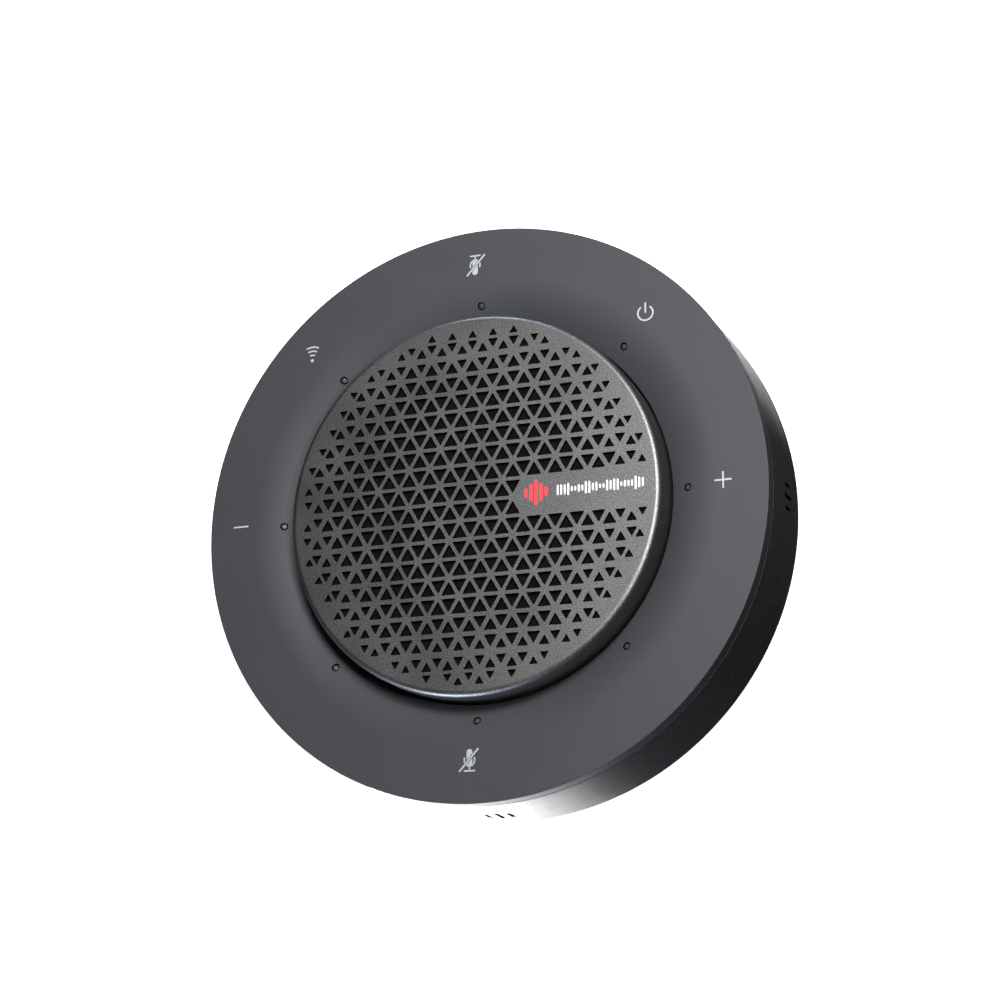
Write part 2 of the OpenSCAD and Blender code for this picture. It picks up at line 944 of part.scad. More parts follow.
module mic_boot(i) {
    color("darkslategray")
        at_mic(i)
            intersection() {
                difference() {
                    translate([mic_r, -mic_w / 2, slot_z - mic_h / 2])
                        cube([mic_boot_t + 1, mic_w, mic_h]);
                    translate([mic_r - eps, 0, slot_z])
                        rotate([0, 90, 0])
                            cylinder(r = mic_port_r + mic_cup_w, h = mic_boot_t + 3, $fn = 48);
                }
                cylinder(r = inner_r - mic_boot_gap, h = ring_z);
            }
}

module mic_board(i) {
    color("darkgreen")
        at_mic(i)
            difference() {
                translate([mic_r - mic_board_t, -mic_w / 2, slot_z - mic_h / 2])
                    cube([mic_board_t, mic_w, mic_h]);
                translate([mic_r - mic_board_t - eps, 0, slot_z])
                    rotate([0, 90, 0])
                        cylinder(r = mic_port_r / 2, h = 2, $fn = bore_fn);
            }
}

module microphone(i) {
    color("silver")
        at_mic(i)
            translate([mic_r - mic_board_t - mic_can.x, -mic_can.y / 2, slot_z - mic_can.z / 2])
                cube(mic_can);
}

top_ring();
speaker_grille();
grille_cloth();
grille_frame();
touch_film();
led_board();
mid_frame();
lower_shell();
foot_ring();
case_screws();
ring_screws();
chamber_seal();
speaker_basket();
speaker_gasket();
speaker_screws();
surround();
cone();
dust_cap();
coil_former();
coil_winding();
spider();
top_plate();
magnet();
yoke();
main_board();
board_screws();
processor();
amplifier();
radio_can();
battery_header();
usb_shell();
usb_tongue();
battery_pack();
battery_pad();
battery_lead();
speaker_lead();
led_header();
led_flex();
for (i = [1:led_n]) led_lens(i);
for (i = [1:mic_n]) mic_boot(i);
for (i = [1:mic_n]) mic_board(i);
for (i = [1:mic_n]) microphone(i);
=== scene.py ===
"""Looks of a round desk speakerphone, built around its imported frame.

Every visible sub-assembly is a class: its sizes in millimetres are the fields, one method builds
each mesh, and one dresses the frame's own parts that stay. Sizes that the frame holds are read
from it, and the rest repeat the named values of the part's source.
"""

import sys
import logging
from collections.abc import Sequence
from dataclasses import dataclass
from enum import Enum
from math import acos, atan2, ceil, cos, degrees, hypot, pi, radians, sin, sqrt, tan

import bmesh
import bpy
from mathutils import Matrix, Vector
from mathutils.geometry import delaunay_2d_cdt


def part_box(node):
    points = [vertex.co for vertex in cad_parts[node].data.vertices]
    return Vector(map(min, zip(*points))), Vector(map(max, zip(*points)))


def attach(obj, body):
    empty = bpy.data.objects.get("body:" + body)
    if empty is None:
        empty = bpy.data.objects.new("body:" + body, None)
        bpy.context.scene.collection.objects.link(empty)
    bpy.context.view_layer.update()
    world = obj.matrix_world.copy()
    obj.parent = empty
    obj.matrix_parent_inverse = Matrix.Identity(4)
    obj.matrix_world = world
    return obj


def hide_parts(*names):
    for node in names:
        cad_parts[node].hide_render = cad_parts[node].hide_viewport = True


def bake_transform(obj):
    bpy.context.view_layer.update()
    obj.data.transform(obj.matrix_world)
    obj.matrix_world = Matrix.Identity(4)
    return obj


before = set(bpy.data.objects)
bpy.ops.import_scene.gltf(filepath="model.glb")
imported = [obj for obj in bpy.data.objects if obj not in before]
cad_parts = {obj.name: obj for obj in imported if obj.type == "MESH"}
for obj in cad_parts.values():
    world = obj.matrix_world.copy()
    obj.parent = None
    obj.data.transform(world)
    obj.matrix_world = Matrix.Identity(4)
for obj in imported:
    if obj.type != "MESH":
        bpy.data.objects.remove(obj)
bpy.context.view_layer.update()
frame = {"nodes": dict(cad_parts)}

LOG = logging.getLogger("speakerphone")
# A millimetre in metres, and a full turn in degrees.
MM = 0.001
FULL_TURN = 360.0
# Steps round the axis of a turned piece.
TURN_STEPS = 360
# Points nearer to each other than this become one.
WELD_MM = 0.0015
# How far from a round the point lies that keeps the face beside it flat.
HOLD_MM = 0.05
# Edges that turn by more degrees than this stay crisp.
SHARP_DEG = 30.0
# Grid points nearer to a hole's middle than this many times its reach are left out.
HOLE_CLEARANCE = 1.12
# Points laid out flat that are nearer than this are one, and the least step of a profile.
FLAT_WELD = 1e-7
LEAST_STEP = 1e-9
# Radians that a wave texture of scale 1 turns through in one unit.
WAVE_RADIANS = 20.0
# The sRGB value below which its curve is straight.
SRGB_KNEE = 0.04045
# The ends of the slow noise that colour and roughness follow.
NOISE_ENDS = {"From Min": 0.3, "From Max": 0.7}

Point2 = tuple[float, float]
Point3 = tuple[float, float, float]
Outline = list[Point2]
Loop = list[Point3]


# ---- Plane and space geometry ----


def arc(centre: Point2, radius: float, start: float, end: float, steps: int = 24) -> Outline:
    """Points of a circular arc.

    Args:
        centre: Middle of the circle.
        radius: Its radius.
        start: First angle, in degrees.
        end: Last angle, in degrees.
        steps: Number of chords.

    Returns:
        The steps + 1 points.
    """
    angles = [radians(start + (end - start) * i / steps) for i in range(steps + 1)]
    return [(centre[0] + radius * cos(a), centre[1] + radius * sin(a)) for a in angles]


def rounded(corners: Sequence[Point3], steps: int = 5, hold: bool = True) -> Outline:
    """A closed outline with its corners rounded.

    Args:
        corners: x, y and rounding radius of each corner.
        steps: Chords in each round.
        hold: Adds a point just outside each round, so that the faces beside it shade flat.

    Returns:
        The outline's points in the order of the corners.
    """
    outline: Outline = []
    for i, (x, y, radius) in enumerate(corners):
        if radius <= 0:
            outline.append((x, y))
            continue
        corner = Vector((x, y))
        before = (Vector(corners[i - 1][:2]) - corner).normalized()
        after = (Vector(corners[(i + 1) % len(corners)][:2]) - corner).normalized()
        half = acos(max(-1.0, min(1.0, before.dot(after)))) / 2
        reach = radius / tan(half)
        centre = corner + (before + after).normalized() * (radius / sin(half))
        first = atan2(*((corner + before * reach) - centre).yx)
        last = atan2(*((corner + after * reach) - centre).yx)
        swing = (last - first + pi) % (2 * pi) - pi
        if hold:
            outline.append(tuple(corner + before * (reach + HOLD_MM)))
        for k in range(steps + 1):
            angle = first + swing * k / steps
            outline.append((centre.x + radius * cos(angle), centre.y + radius * sin(angle)))
        if hold:
            outline.append(tuple(corner + after * (reach + HOLD_MM)))
    return outline


def stadium(width: float, height: float, steps: int = 10) -> Outline:
    """A plug outline: a rectangle whose shorter sides are full rounds.

    Args:
        width: Size along x.
        height: Size along y.
        steps: Chords in each round.

    Returns:
        The closed outline, anticlockwise.
    """
    radius = min(width, height) / 2
    if width >= height:
        reach = width / 2 - radius
        return arc((reach, 0), radius, -90, 90, steps) + arc((-reach, 0), radius, 90, 270, steps)
    reach = height / 2 - radius
    return arc((0, reach), radius, 0, 180, steps) + arc((0, -reach), radius, 180, 360, steps)


def circle(centre: Point2, radius: float, steps: int = 32) -> Outline:
    """The closed outline of a circle, without its last point twice."""
    return arc(centre, radius, 0, FULL_TURN, steps)[:-1]


def tube(spot: Point2, levels: Sequence[Point2], steps: int = 32) -> list[Loop]:
    """Circles about an upright line, one for each radius and height.

    Args:
        spot: Where the line stands.
        levels: The radius and height of each circle.
        steps: Chords in each circle.

    Returns:
        The circles.
    """
    return [[(x, y, z) for x, y in circle(spot, r, steps)] for r, z in levels]


def direction(azimuth: float, elevation: float) -> Vector:
    """The unit vector towards an azimuth and an elevation in degrees."""
    a, e = radians(azimuth), radians(elevation)
    return Vector((cos(a) * cos(e), sin(a) * cos(e), sin(e)))


def turned(point: Point2, azimuth: float) -> Point2:
    """A point turned about the axis by an azimuth in degrees."""
    a = radians(azimuth)
    return point[0] * cos(a) - point[1] * sin(a), point[0] * sin(a) + point[1] * cos(a)


def height_at(profile: Outline, radius: float) -> float:
    """Height of a profile at a radius.

    Args:
        profile: Radius and height pairs, with the radius rising or falling throughout.
        radius: Where to read it.

    Returns:
        The height, straight between the profile's points.
    """
    rising = sorted(profile)
    for (r0, z0), (r1, z1) in zip(rising, rising[1:]):
        if r0 <= radius <= r1:
            return z0 + (z1 - z0) * (radius - r0) / max(r1 - r0, LEAST_STEP)
    return rising[0][1] if radius < rising[0][0] else rising[-1][1]


def radius_at(profile: Outline, height: float) -> float:
    """Radius of a profile at a height, for a profile whose height rises or falls throughout."""
    return height_at([(z, r) for r, z in profile], height)


class Along(Enum):
    """The coordinate that a window's rows are measured along."""

    RADIUS = 0
    HEIGHT = 1


class Skin(Enum):
    """Which of a piece's finishes a face takes."""

    SHOWN = 0
    # The walls of holes, in painted shade.
    HOLE = 1


@dataclass
class Window:
    """A patch of a turned surface that is meshed again around holes.

    Attributes:
        first: Section index of the patch's first row.
        last: Section index of its last row.
        start: First step round the axis.
        end: Last step round the axis.
        along: What the rows are measured along.
        loops: The holes' outlines, on the surface.
    """

    first: int
    last: int
    start: int
    end: int
    along: Along
    loops: list[Loop]


class Section:
    """A closed outline in radius and height, made of named stretches.

    Attributes:
        points: Its radius and height pairs.
        spans: Number of the first and the last point of each stretch, by name.
    """

    def __init__(self) -> None:
        """Starts an empty outline."""
        self.points: Outline = []
        self.spans: dict[str, tuple[int, int]] = {}

    def add(self, name: str, points: Outline) -> None:
        """Appends a stretch.

        Args:
            name: What the stretch is called.
            points: Its radius and height pairs.
        """
        self.spans[name] = (len(self.points), len(self.points) + len(points) - 1)
        self.points += points

    def stretch(self, name: str) -> Outline:
        """The points of one stretch."""
        first, last = self.spans[name]
        return self.points[first : last + 1]

    def window(self, name: str, along: Along, centre: float, reach: float, azimuth: float,
               half: float, loops: list[Loop]) -> Window:
        """A window on a stretch, wide enough for the holes in it.

        Args:
            name: The stretch.
            along: Whether centre and reach are a radius or a height.
            centre: Middle of the holes.
            reach: How far the window goes at least, either way from there.
            azimuth: Azimuth of its middle, in degrees.
            half: Least half width, in degrees.
            loops: Outlines of the holes.

        Returns:
            The window, on whole rows and steps.
        """
        low, high = centre - reach, centre + reach
        first, last = self.spans[name]
        values = [self.points[i][along.value] for i in range(first, last + 1)]
        inside = [first + i for i, v in enumerate(values) if low <= v <= high]
        if not inside:
            below = min(i for i, v in enumerate(values) if (v > low) == (values[-1] > values[0]))
            inside = [first + below]
        step = FULL_TURN / TURN_STEPS
        return Window(max(first, min(inside) - 1), min(last, max(inside) + 1),
                      round((azimuth - half) / step), round((azimuth + half) / step), along, loops)


class MeshMaker:
    """Gathers the faces of one piece, in millimetres, and makes its object.

    Attributes:
        name: The piece's name.
        points: Its points.
        faces: The points of each face, by number.
        skin: The finish of the faces that are added next.
        skins: The finish of each face, by number.
    """

    def __init__(self, name: str) -> None:
        """Starts an empty piece.

        Args:
            name: The piece's name.
        """
        self.name = name
        self.points: list[Point3] = []
        self.faces: list[list[int]] = []
        self.skin = Skin.SHOWN
        self.skins: list[int] = []

    def face(self, loop: Sequence[Point3]) -> None:
        start = len(self.points)
        self.points += list(loop)
        self.add([list(range(start, start + len(loop)))])

    def add(self, faces: list[list[int]]) -> None:
        """Adds faces between points that are there."""
        self.faces += faces
        self.skins += [self.skin.value] * len(faces)

    def bridge(self, *loops: Loop) -> None:
        """Joins closed loops with equal numbers of points, each to the next, by quads."""
        for near, far in zip(loops, loops[1:]):
            for i in range(len(near)):
                j = (i + 1) % len(near)
                self.face([near[i], near[j], far[j], far[i]])

    def wall(self, *loops: Loop) -> None:
        """Joins closed loops as the wall of a hole, in the second finish, which paints the shade inside
        holes.
        """
        self.skin = Skin.HOLE
        self.bridge(*loops)
        self.skin = Skin.SHOWN

    def prism(self, outline: Outline, low: float, high: float,
              place: Matrix | None = None) -> None:
        """A closed prism.

        Args:
            outline: Its outline in x and y.
            low: Height of its bottom.
            high: Height of its top.
            place: Turns and moves it; left out, it stays.
        """
        place = place or Matrix.Identity(4)
        ends = [[tuple(place @ Vector((x, y, z))) for x, y in outline] for z in (low, high)]
        self.bridge(*ends)
        self.face(ends[0][::-1])
        self.face(ends[1])

    def stack(self, loops: list[Loop]) -> None:
        """A closed body: loops joined each to the next, and the first and last filled."""
        self.bridge(*loops)
        self.face(loops[0][::-1])
        self.face(loops[-1])

    def lathe(self, section: Outline, windows: Sequence[Window] = (),
              closed: bool = True) -> None:
        """Turns a section round the axis.

        Args:
            section: Radius and height pairs.
            windows: Patches that are left out and meshed around their holes.
            closed: True joins the last point to the first.
        """
        step = 2 * pi / TURN_STEPS
        turns = [(cos(i * step), sin(i * step)) for i in range(TURN_STEPS)]
        left_out = {(row, column % TURN_STEPS) for w in windows
                    for row in range(w.first, w.last) for column in range(w.start, w.end)}
        base = len(self.points)
        self.points += [(r * c, r * s, z) for r, z in section for c, s in turns]
        rows = len(section)
        for row in range(rows if closed else rows - 1):
            after = (row + 1) % rows
            for column in range(TURN_STEPS):
                if (row, column) in left_out:
                    continue
                beside = (column + 1) % TURN_STEPS
                near, far = base + row * TURN_STEPS, base + after * TURN_STEPS
                self.add([[near + column, near + beside, far + beside, far + column]])
        for window in windows:
            self.patch(section, window)

    def patch(self, section: Outline, window: Window) -> None:
        """Meshes a window of a turned surface around its holes.

        Args:
            section: The surface's section.
            window: The window.
        """
        step = 2 * pi / TURN_STEPS
        scale = section[window.first][0]
        middle = (window.start + window.end) / 2 * step
        loops = [[self.unrolled(p, middle, scale, window.along) for p in loop]
                 for loop in window.loops]
        centres = [(sum(x for x, _ in loop) / len(loop), sum(y for _, y in loop) / len(loop))
                   for loop in loops]
        limits = [max(hypot(x - c[0], y - c[1]) for x, y in loop) * HOLE_CLEARANCE
                  for loop, c in zip(loops, centres)]
        flat: list[Point2] = []
        solid: list[Point3] = []
        for row in range(window.first, window.last + 1):
            r, z = section[row]
            for column in range(window.start, window.end + 1):
                angle = column * step
                point = (r * cos(angle), r * sin(angle), z)
                spot = self.unrolled(point, middle, scale, window.along)
                on_edge = (row in (window.first, window.last)
                           or column in (window.start, window.end))
                near = any(hypot(spot[0] - c[0], spot[1] - c[1]) < limit
                           for c, limit in zip(centres, limits))
                if on_edge or not near:
                    flat.append(spot)
                    solid.append(point)
        self.fill(flat, solid, loops, window.loops)

    @staticmethod
    def unrolled(point: Point3, middle: float, scale: float, along: Along) -> Point2:
        """A point of a turned surface, laid out flat round a middle azimuth in radians."""
        angle = (atan2(point[1], point[0]) - middle + pi) % (2 * pi) - pi
        across = hypot(point[0], point[1]) if along is Along.RADIUS else point[2]
        return angle * scale, across

    def fill(self, flat: list[Point2], solid: list[Point3], flat_loops: list[Outline],
             loops: list[Loop]) -> None:
        """Fills the hull of some points with triangles, and leaves convex holes open.

        Args:
            flat: The points laid out flat.
            solid: The same points in space.
            flat_loops: The holes' outlines laid out flat.
            loops: The same outlines in space.
        """
        points = [Vector(p) for p in flat]
        places = list(solid)
        owner = [-1] * len(places)
        edges = []
        for number, (outline, loop) in enumerate(zip(flat_loops, loops)):
            start = len(points)
            points += [Vector(p) for p in outline]
            places += loop
            owner += [number] * len(loop)
            edges += [(start + i, start + (i + 1) % len(loop)) for i in range(len(loop))]
        _, _, triangles, sources, _, _ = delaunay_2d_cdt(points, edges, [], 0, FLAT_WELD, True)
        base = len(self.points)
        self.points += [places[ids[0]] for ids in sources]
        owners = [owner[ids[0]] for ids in sources]
        for triangle in triangles:
            held = {owners[i] for i in triangle}
            if len(held) > 1 or held == {-1}:
                self.add([[base + i for i in triangle]])

    def finish(self, *materials: bpy.types.Material, body: str = "root") -> bpy.types.Object:
        """Makes the object and lets it ride on a body.

        Args:
            *materials: Its finishes, in the order of the skins.
            body: The body that it rides on; empty leaves it free.

        Returns:
            The object.
        """
        mesh = bpy.data.meshes.new(self.name)
        mesh.from_pydata([(x * MM, y * MM, z * MM) for x, y, z in self.points], [], self.faces)
        mesh.polygons.foreach_set("material_index", self.skins)
        work = bmesh.new()
        work.from_mesh(mesh)
        bmesh.ops.remove_doubles(work, verts=work.verts, dist=WELD_MM * MM)
        bmesh.ops.recalc_face_normals(work, faces=work.faces)
        for face in work.faces:
            face.smooth = True
        work.to_mesh(mesh)
        work.free()
        mesh.set_sharp_from_angle(angle=radians(SHARP_DEG))
        for material in materials:
            mesh.materials.append(material)
        piece = bpy.data.objects.new(self.name, mesh)
        bpy.context.scene.collection.objects.link(piece)
        if body:
            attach(piece, body)
        LOG.info("%s: %d faces", self.name, len(mesh.polygons))
        return piece


# ---- Finishes ----


def linear(code: str) -> tuple[float, float, float, float]:
    """Turns an sRGB hex value such as '#57585C' into linear colour with alpha 1."""
    parts = [int(code[i : i + 2], 16) / 255 for i in (1, 3, 5)]
    r, g, b = (c / 12.92 if c <= SRGB_KNEE else ((c + 0.055) / 1.055) ** 2.4 for c in parts)
    return r, g, b, 1.0


def add_node(tree: bpy.types.NodeTree, kind: str, links: dict | None = None,
             values: dict | None = None, **settings: object) -> bpy.types.Node:
    """Adds one node with its settings, values and incoming links.

    Args:
        tree: The node tree.
        kind: The node's type name.
        links: Input name or number to the output socket that feeds it.
        values: Input name or number to its constant value.
        **settings: The node's own properties.

    Returns:
        The node.
    """
    node = tree.nodes.new(kind)
    for name, value in settings.items():
        setattr(node, name, value)
    for socket, value in (values or {}).items():
        node.inputs[socket].default_value = value
    for socket, source in (links or {}).items():
        tree.links.new(source, node.inputs[socket])
    return node


def per_metre(size_mm: float) -> float:
    """Texture scale that makes one feature about size_mm across."""
    return 1 / (size_mm * MM)


class Pattern(Enum):
    """How the fine surface of a finish is laid."""

    GRAIN = "grain"
    SPARKLE = "sparkle"
    WEAVE = "weave"
    TURNED = "turned"
    CELLS = "cells"
    TRACKS = "tracks"


# The heights of a fine pattern between which it goes from the first colour to the second.
COLOUR_RANGES: dict[Pattern, tuple[float, float]] = {
    Pattern.SPARKLE: (0.46, 0.66),
    Pattern.WEAVE: (0.2, 0.9),
    Pattern.TRACKS: (0.36, 0.4),
}


@dataclass(frozen=True)
class Finish:
    """A material and how its surface was made.

    Attributes:
        name: What it is.
        colour: sRGB hex of the base.
        second: sRGB hex that the pattern or the tone drifts towards.
        roughness: Middle roughness.
        metallic: 1 for bare metal.
        ior: Index of refraction; metals keep the default.
        specular: Strength of the plain reflection, 0.5 as the index gives it.
        pattern: Its fine surface.
        pitch_mm: Size of one feature of the pattern; waves repeat every 2 pi times it.
        depth_mm: Height of the pattern.
        drift_mm: Size of the slow patches of tone.
        drift: How far the slow patches go towards the second colour.
        uneven: How far the roughness wanders either way.
        coat: Weight of a clear coat.
        sheen: Weight of the fibres' sheen.
    """

    name: str
    colour: str
    second: str
    roughness: float
    metallic: float = 0.0
    ior: float = 1.5
    specular: float = 0.5
    pattern: Pattern = Pattern.GRAIN
    pitch_mm: float = 0.3
    depth_mm: float = 0.006
    drift_mm: float = 14.0
    drift: float = 0.5
    uneven: float = 0.04
    coat: float = 0.0
    sheen: float = 0.0

    def build(self) -> bpy.types.Material:
        """Makes the material, or returns it if it was made before."""
        made = bpy.data.materials.get(self.name)
        if made:
            return made
        material = bpy.data.materials.new(self.name)
        material.use_nodes = True
        tree = material.node_tree
        tree.nodes.clear()
        place = add_node(tree, "ShaderNodeTexCoord").outputs["Object"]
        slow = add_node(tree, "ShaderNodeTexNoise", {"Vector": place},
                        {"Scale": per_metre(self.drift_mm), "Detail": 3.0}).outputs["Fac"]
        fine = self.fine(tree, place)
        tone = add_node(tree, "ShaderNodeMapRange", {"Value": slow},
                        {**NOISE_ENDS, "To Min": 0.0, "To Max": self.drift})
        base = self.paint(tree, tone.outputs["Result"], fine)
        rough = add_node(tree, "ShaderNodeMapRange", {"Value": slow},
                         {**NOISE_ENDS, "To Min": self.roughness - self.uneven,
                          "To Max": self.roughness + self.uneven})
        bump = add_node(tree, "ShaderNodeBump", {"Height": fine},
                        {"Strength": 1.0, "Distance": self.depth_mm * MM})
        shader = add_node(tree, "ShaderNodeBsdfPrincipled",
                          {"Base Color": base, "Roughness": rough.outputs["Result"],
                           "Normal": bump.outputs["Normal"]},
                          {"Metallic": self.metallic, "Specular IOR Level": self.specular,
                           "Coat Weight": self.coat, "Sheen Weight": self.sheen})
        if not self.metallic:
            shader.inputs["IOR"].default_value = self.ior
        add_node(tree, "ShaderNodeOutputMaterial", {"Surface": shader.outputs["BSDF"]})
        return material

    def fine(self, tree: bpy.types.NodeTree, place: bpy.types.NodeSocket) -> bpy.types.NodeSocket:
        """The height of the fine pattern.

        Args:
            tree: The material's nodes.
            place: Where on the piece, in metres.

        Returns:
            The socket that holds it, about 0 to 1.
        """
        scale = per_metre(self.pitch_mm)
        if self.pattern is Pattern.WEAVE:
            waves = [add_node(tree, "ShaderNodeTexWave", {"Vector": place},
                              {"Scale": scale / WAVE_RADIANS, "Distortion": 0.4, "Detail": 1.0},
                              bands_direction=axis).outputs["Fac"] for axis in ("X", "Y")]
            return add_node(tree, "ShaderNodeMath", {0: waves[0], 1: waves[1]},
                            operation="MAXIMUM").outputs[0]
        if self.pattern is Pattern.TURNED:
            return add_node(tree, "ShaderNodeTexWave", {"Vector": place},
                            {"Scale": scale / WAVE_RADIANS, "Distortion": 1.5, "Detail": 2.0},
                            wave_type="RINGS", rings_direction="Z").outputs["Fac"]
        if self.pattern in (Pattern.CELLS, Pattern.TRACKS):
            return add_node(tree, "ShaderNodeTexVoronoi", {"Vector": place}, {"Scale": scale},
                            distance="CHEBYCHEV" if self.pattern is Pattern.TRACKS else "EUCLIDEAN",
                            feature="F1").outputs["Distance"]
        detail = 0.0 if self.pattern is Pattern.SPARKLE else 2.0
        return add_node(tree, "ShaderNodeTexNoise", {"Vector": place},
                        {"Scale": scale, "Detail": detail, "Roughness": 0.6}).outputs["Fac"]

    def paint(self, tree: bpy.types.NodeTree, tone: bpy.types.NodeSocket,
              fine: bpy.types.NodeSocket) -> bpy.types.NodeSocket:
        """The base colour.

        Args:
            tree: The material's nodes.
            tone: How far the slow patches go towards the second colour.
            fine: The fine pattern, which shows as colour in flakes, threads and copper tracks, and as
                painted glints on the spark-textured ABS.

        Returns:
            The colour's socket.
        """
        share = tone
        if self.pattern in COLOUR_RANGES:
            low, high = COLOUR_RANGES[self.pattern]
            speck = add_node(tree, "ShaderNodeMapRange", {"Value": fine},
                             {"From Min": low, "From Max": high, "To Min": 0.0,
                              "To Max": self.drift})
            share = speck.outputs["Result"]
        mix = add_node(tree, "ShaderNodeMix", {"Factor": share}, data_type="RGBA")
        mix.inputs[6].default_value = linear(self.colour)
        mix.inputs[7].default_value = linear(self.second)
        return mix.outputs[2]


# Rubbery paint sprayed on moulded ABS: an even, matt dark grey with a faint orange peel.
SOFT_TOUCH_PAINT = Finish("soft_touch_paint_on_ABS", "#38393C", "#3D3E41", 0.62, ior=1.5, specular=0.35,
                          pitch_mm=0.28, depth_mm=0.01, drift=0.5, uneven=0.015)
# Painted shade: the walls inside the light holes and slots are black and dull, far darker than the ABS
# itself, and stand in for the shade where no light falls.
HOLE_SHADE_BLACK = Finish("painted_shade_in_holes", "#050505", "#090909", 0.8, ior=1.53, specular=0.15,
                 pitch_mm=0.3, depth_mm=0.004)
# ABS moulded in a spark-eroded tool: near black with a fine grain. The lighter specks in its colour are
# painted glints, which add to the glints that the grain's bump catches in raking light.
SPARK_ABS = Finish("spark_textured_ABS", "#1A1A1A", "#3E3E3E", 0.5, ior=1.53, specular=0.5,
                   pattern=Pattern.SPARKLE, pitch_mm=0.3, depth_mm=0.04, drift=0.95)
# Powder coat with metal flakes, baked on punched steel: a grey that is bright towards the light.
FLAKE_POWDER_COAT = Finish("metal_flake_powder_coat", "#656564", "#858583", 0.47, metallic=1.0,
                           pattern=Pattern.SPARKLE, pitch_mm=0.24, depth_mm=0.01, drift=0.9)
# Painted shade: the walls of the punched holes are black and dull, and stand in for the shade inside
# them.
GRILLE_HOLE_SHADE = Finish("painted_shade_in_grille_holes", "#060606", "#0A0A0A", 0.9, specular=0.1,
                      pitch_mm=0.3, depth_mm=0.004)
# Polyester yarn, plain weave, stretched tight: dull black. Its rows are drawn 2.2 mm apart, ten
# times as coarse as acoustic cloth, so that they show at all.
ACOUSTIC_CLOTH = Finish("woven_polyester_acoustic_cloth", "#050505", "#090909", 0.95, specular=0.1,
                        pattern=Pattern.WEAVE, pitch_mm=0.35, depth_mm=0.05, drift=1.0, sheen=0.05)
# Screen ink: thin, opaque and matt, a little uneven at its surface.
GREY_INK = Finish("screen_printed_grey_ink", "#ABADB1", "#A2A4A8", 0.6,
                  pitch_mm=0.2, depth_mm=0.002)
# The same in white: the brightest mark on the part.
WHITE_INK = Finish("screen_printed_white_ink", "#DCDCDC", "#D2D2D2", 0.55,
                   pitch_mm=0.2, depth_mm=0.002)
# The same in red: a warm accent with no gloss.
RED_INK = Finish("screen_printed_red_ink", "#DA3A44", "#D0363F", 0.6,
                 pitch_mm=0.2, depth_mm=0.002)
# Smoked polycarbonate light pipe: grey like the ring when unlit, with a soft glint.
LIGHT_PIPE = Finish("smoked_polycarbonate", "#36373A", "#323336", 0.5, ior=1.585, specular=0.4,
                    pitch_mm=0.6, depth_mm=0.001, coat=0.05)
# Moulded silicone: black, dull, and dusty to the eye.
SILICONE = Finish("moulded_silicone_rubber", "#17181A", "#1F2022", 0.7, ior=1.41,
                  pitch_mm=0.4, depth_mm=0.006)
# Foam cut from sheet: dark and dead, with open cells at its face.
FOAM = Finish("closed_cell_foam", "#232325", "#2E2E30", 0.92, pattern=Pattern.CELLS,
              pitch_mm=0.5, depth_mm=0.08)
# PC-ABS straight from the tool: black with a satin surface.
MOULDED_PC_ABS = Finish("moulded_PC_ABS", "#1A1B1D", "#232426", 0.48, ior=1.55,
                        pitch_mm=0.35, depth_mm=0.006)
# Zinc on steel: pale, slightly blue, with turning marks 1.9 mm apart, coarser than real ones.
ZINC_STEEL = Finish("zinc_plated_steel", "#B9BCC0", "#9FA3A8", 0.3, metallic=1.0,
                    pattern=Pattern.TURNED, pitch_mm=0.3, depth_mm=0.003)
# Tin on steel sheet: pale and even, with a soft shine.
TIN_STEEL = Finish("tin_plated_steel", "#C4C4C2", "#AEB0AF", 0.26, metallic=1.0,
                   pitch_mm=0.6, depth_mm=0.002)
# Stainless steel drawn to a thin shell: bright, faintly grey.
STAINLESS = Finish("drawn_stainless_steel", "#B6B7B8", "#9FA1A3", 0.22, metallic=1.0,
                   pitch_mm=0.5, depth_mm=0.002)
# Nickel on a sintered magnet: bright and slightly yellow.
NICKEL = Finish("nickel_plated_neodymium", "#C9C6BE", "#B5B2AA", 0.18, metallic=1.0,
                pitch_mm=0.7, depth_mm=0.001)
# Thin gold on a stamped contact: warm and bright.
GOLD = Finish("gold_plated_contact", "#D9AE5A", "#C79A45", 0.25, metallic=1.0,
              pitch_mm=0.4, depth_mm=0.001)
# Pressed paper pulp with a damping coat: black, fibrous.
PAPER_PULP = Finish("coated_paper_pulp", "#1C1C1D", "#2A2A2A", 0.85,
                    pitch_mm=0.5, depth_mm=0.03)
# Aluminium foil drawn to a dome: grey, with rings 2.2 mm apart from its tool.
DRAWN_ALUMINIUM = Finish("drawn_aluminium_foil", "#8B8D90", "#7C7E82", 0.33, metallic=1.0,
                         pattern=Pattern.TURNED, pitch_mm=0.35, depth_mm=0.002)
# Polyimide film: clear amber with a gloss.
KAPTON = Finish("polyimide_film", "#B5702A", "#8F531B", 0.28, ior=1.7,
                pitch_mm=0.8, depth_mm=0.002, coat=0.3)
# Copper wire wound under enamel: a warm metal in rows.
ENAMELLED_COPPER = Finish("enamelled_copper_wire", "#B5642F", "#8C4520", 0.3, metallic=1.0,
                          pattern=Pattern.TURNED, pitch_mm=0.2, depth_mm=0.02)
# Cotton dipped in phenolic resin and pressed: a straw-coloured weave, drawn 2.5 mm apart, which
# is coarser than the real thread, so that it shows.
RESIN_COTTON = Finish("phenolic_cotton", "#B79C5C", "#8E763E", 0.75, pattern=Pattern.WEAVE,
                      pitch_mm=0.4, depth_mm=0.03, drift=0.8)
# Solder mask over copper on fibreglass: green with lighter square-cornered tracks.
SOLDER_MASK = Finish("solder_masked_fibreglass", "#0F4A2B", "#1E6B40", 0.3, ior=1.52,
                     pattern=Pattern.TRACKS, pitch_mm=1.8, depth_mm=0.03, drift=0.9, coat=0.2)
# Epoxy moulded round a chip: dull black with a fine grain.
MOULD_COMPOUND = Finish("epoxy_mould_compound", "#161617", "#202021", 0.6,
                        pitch_mm=0.25, depth_mm=0.006)
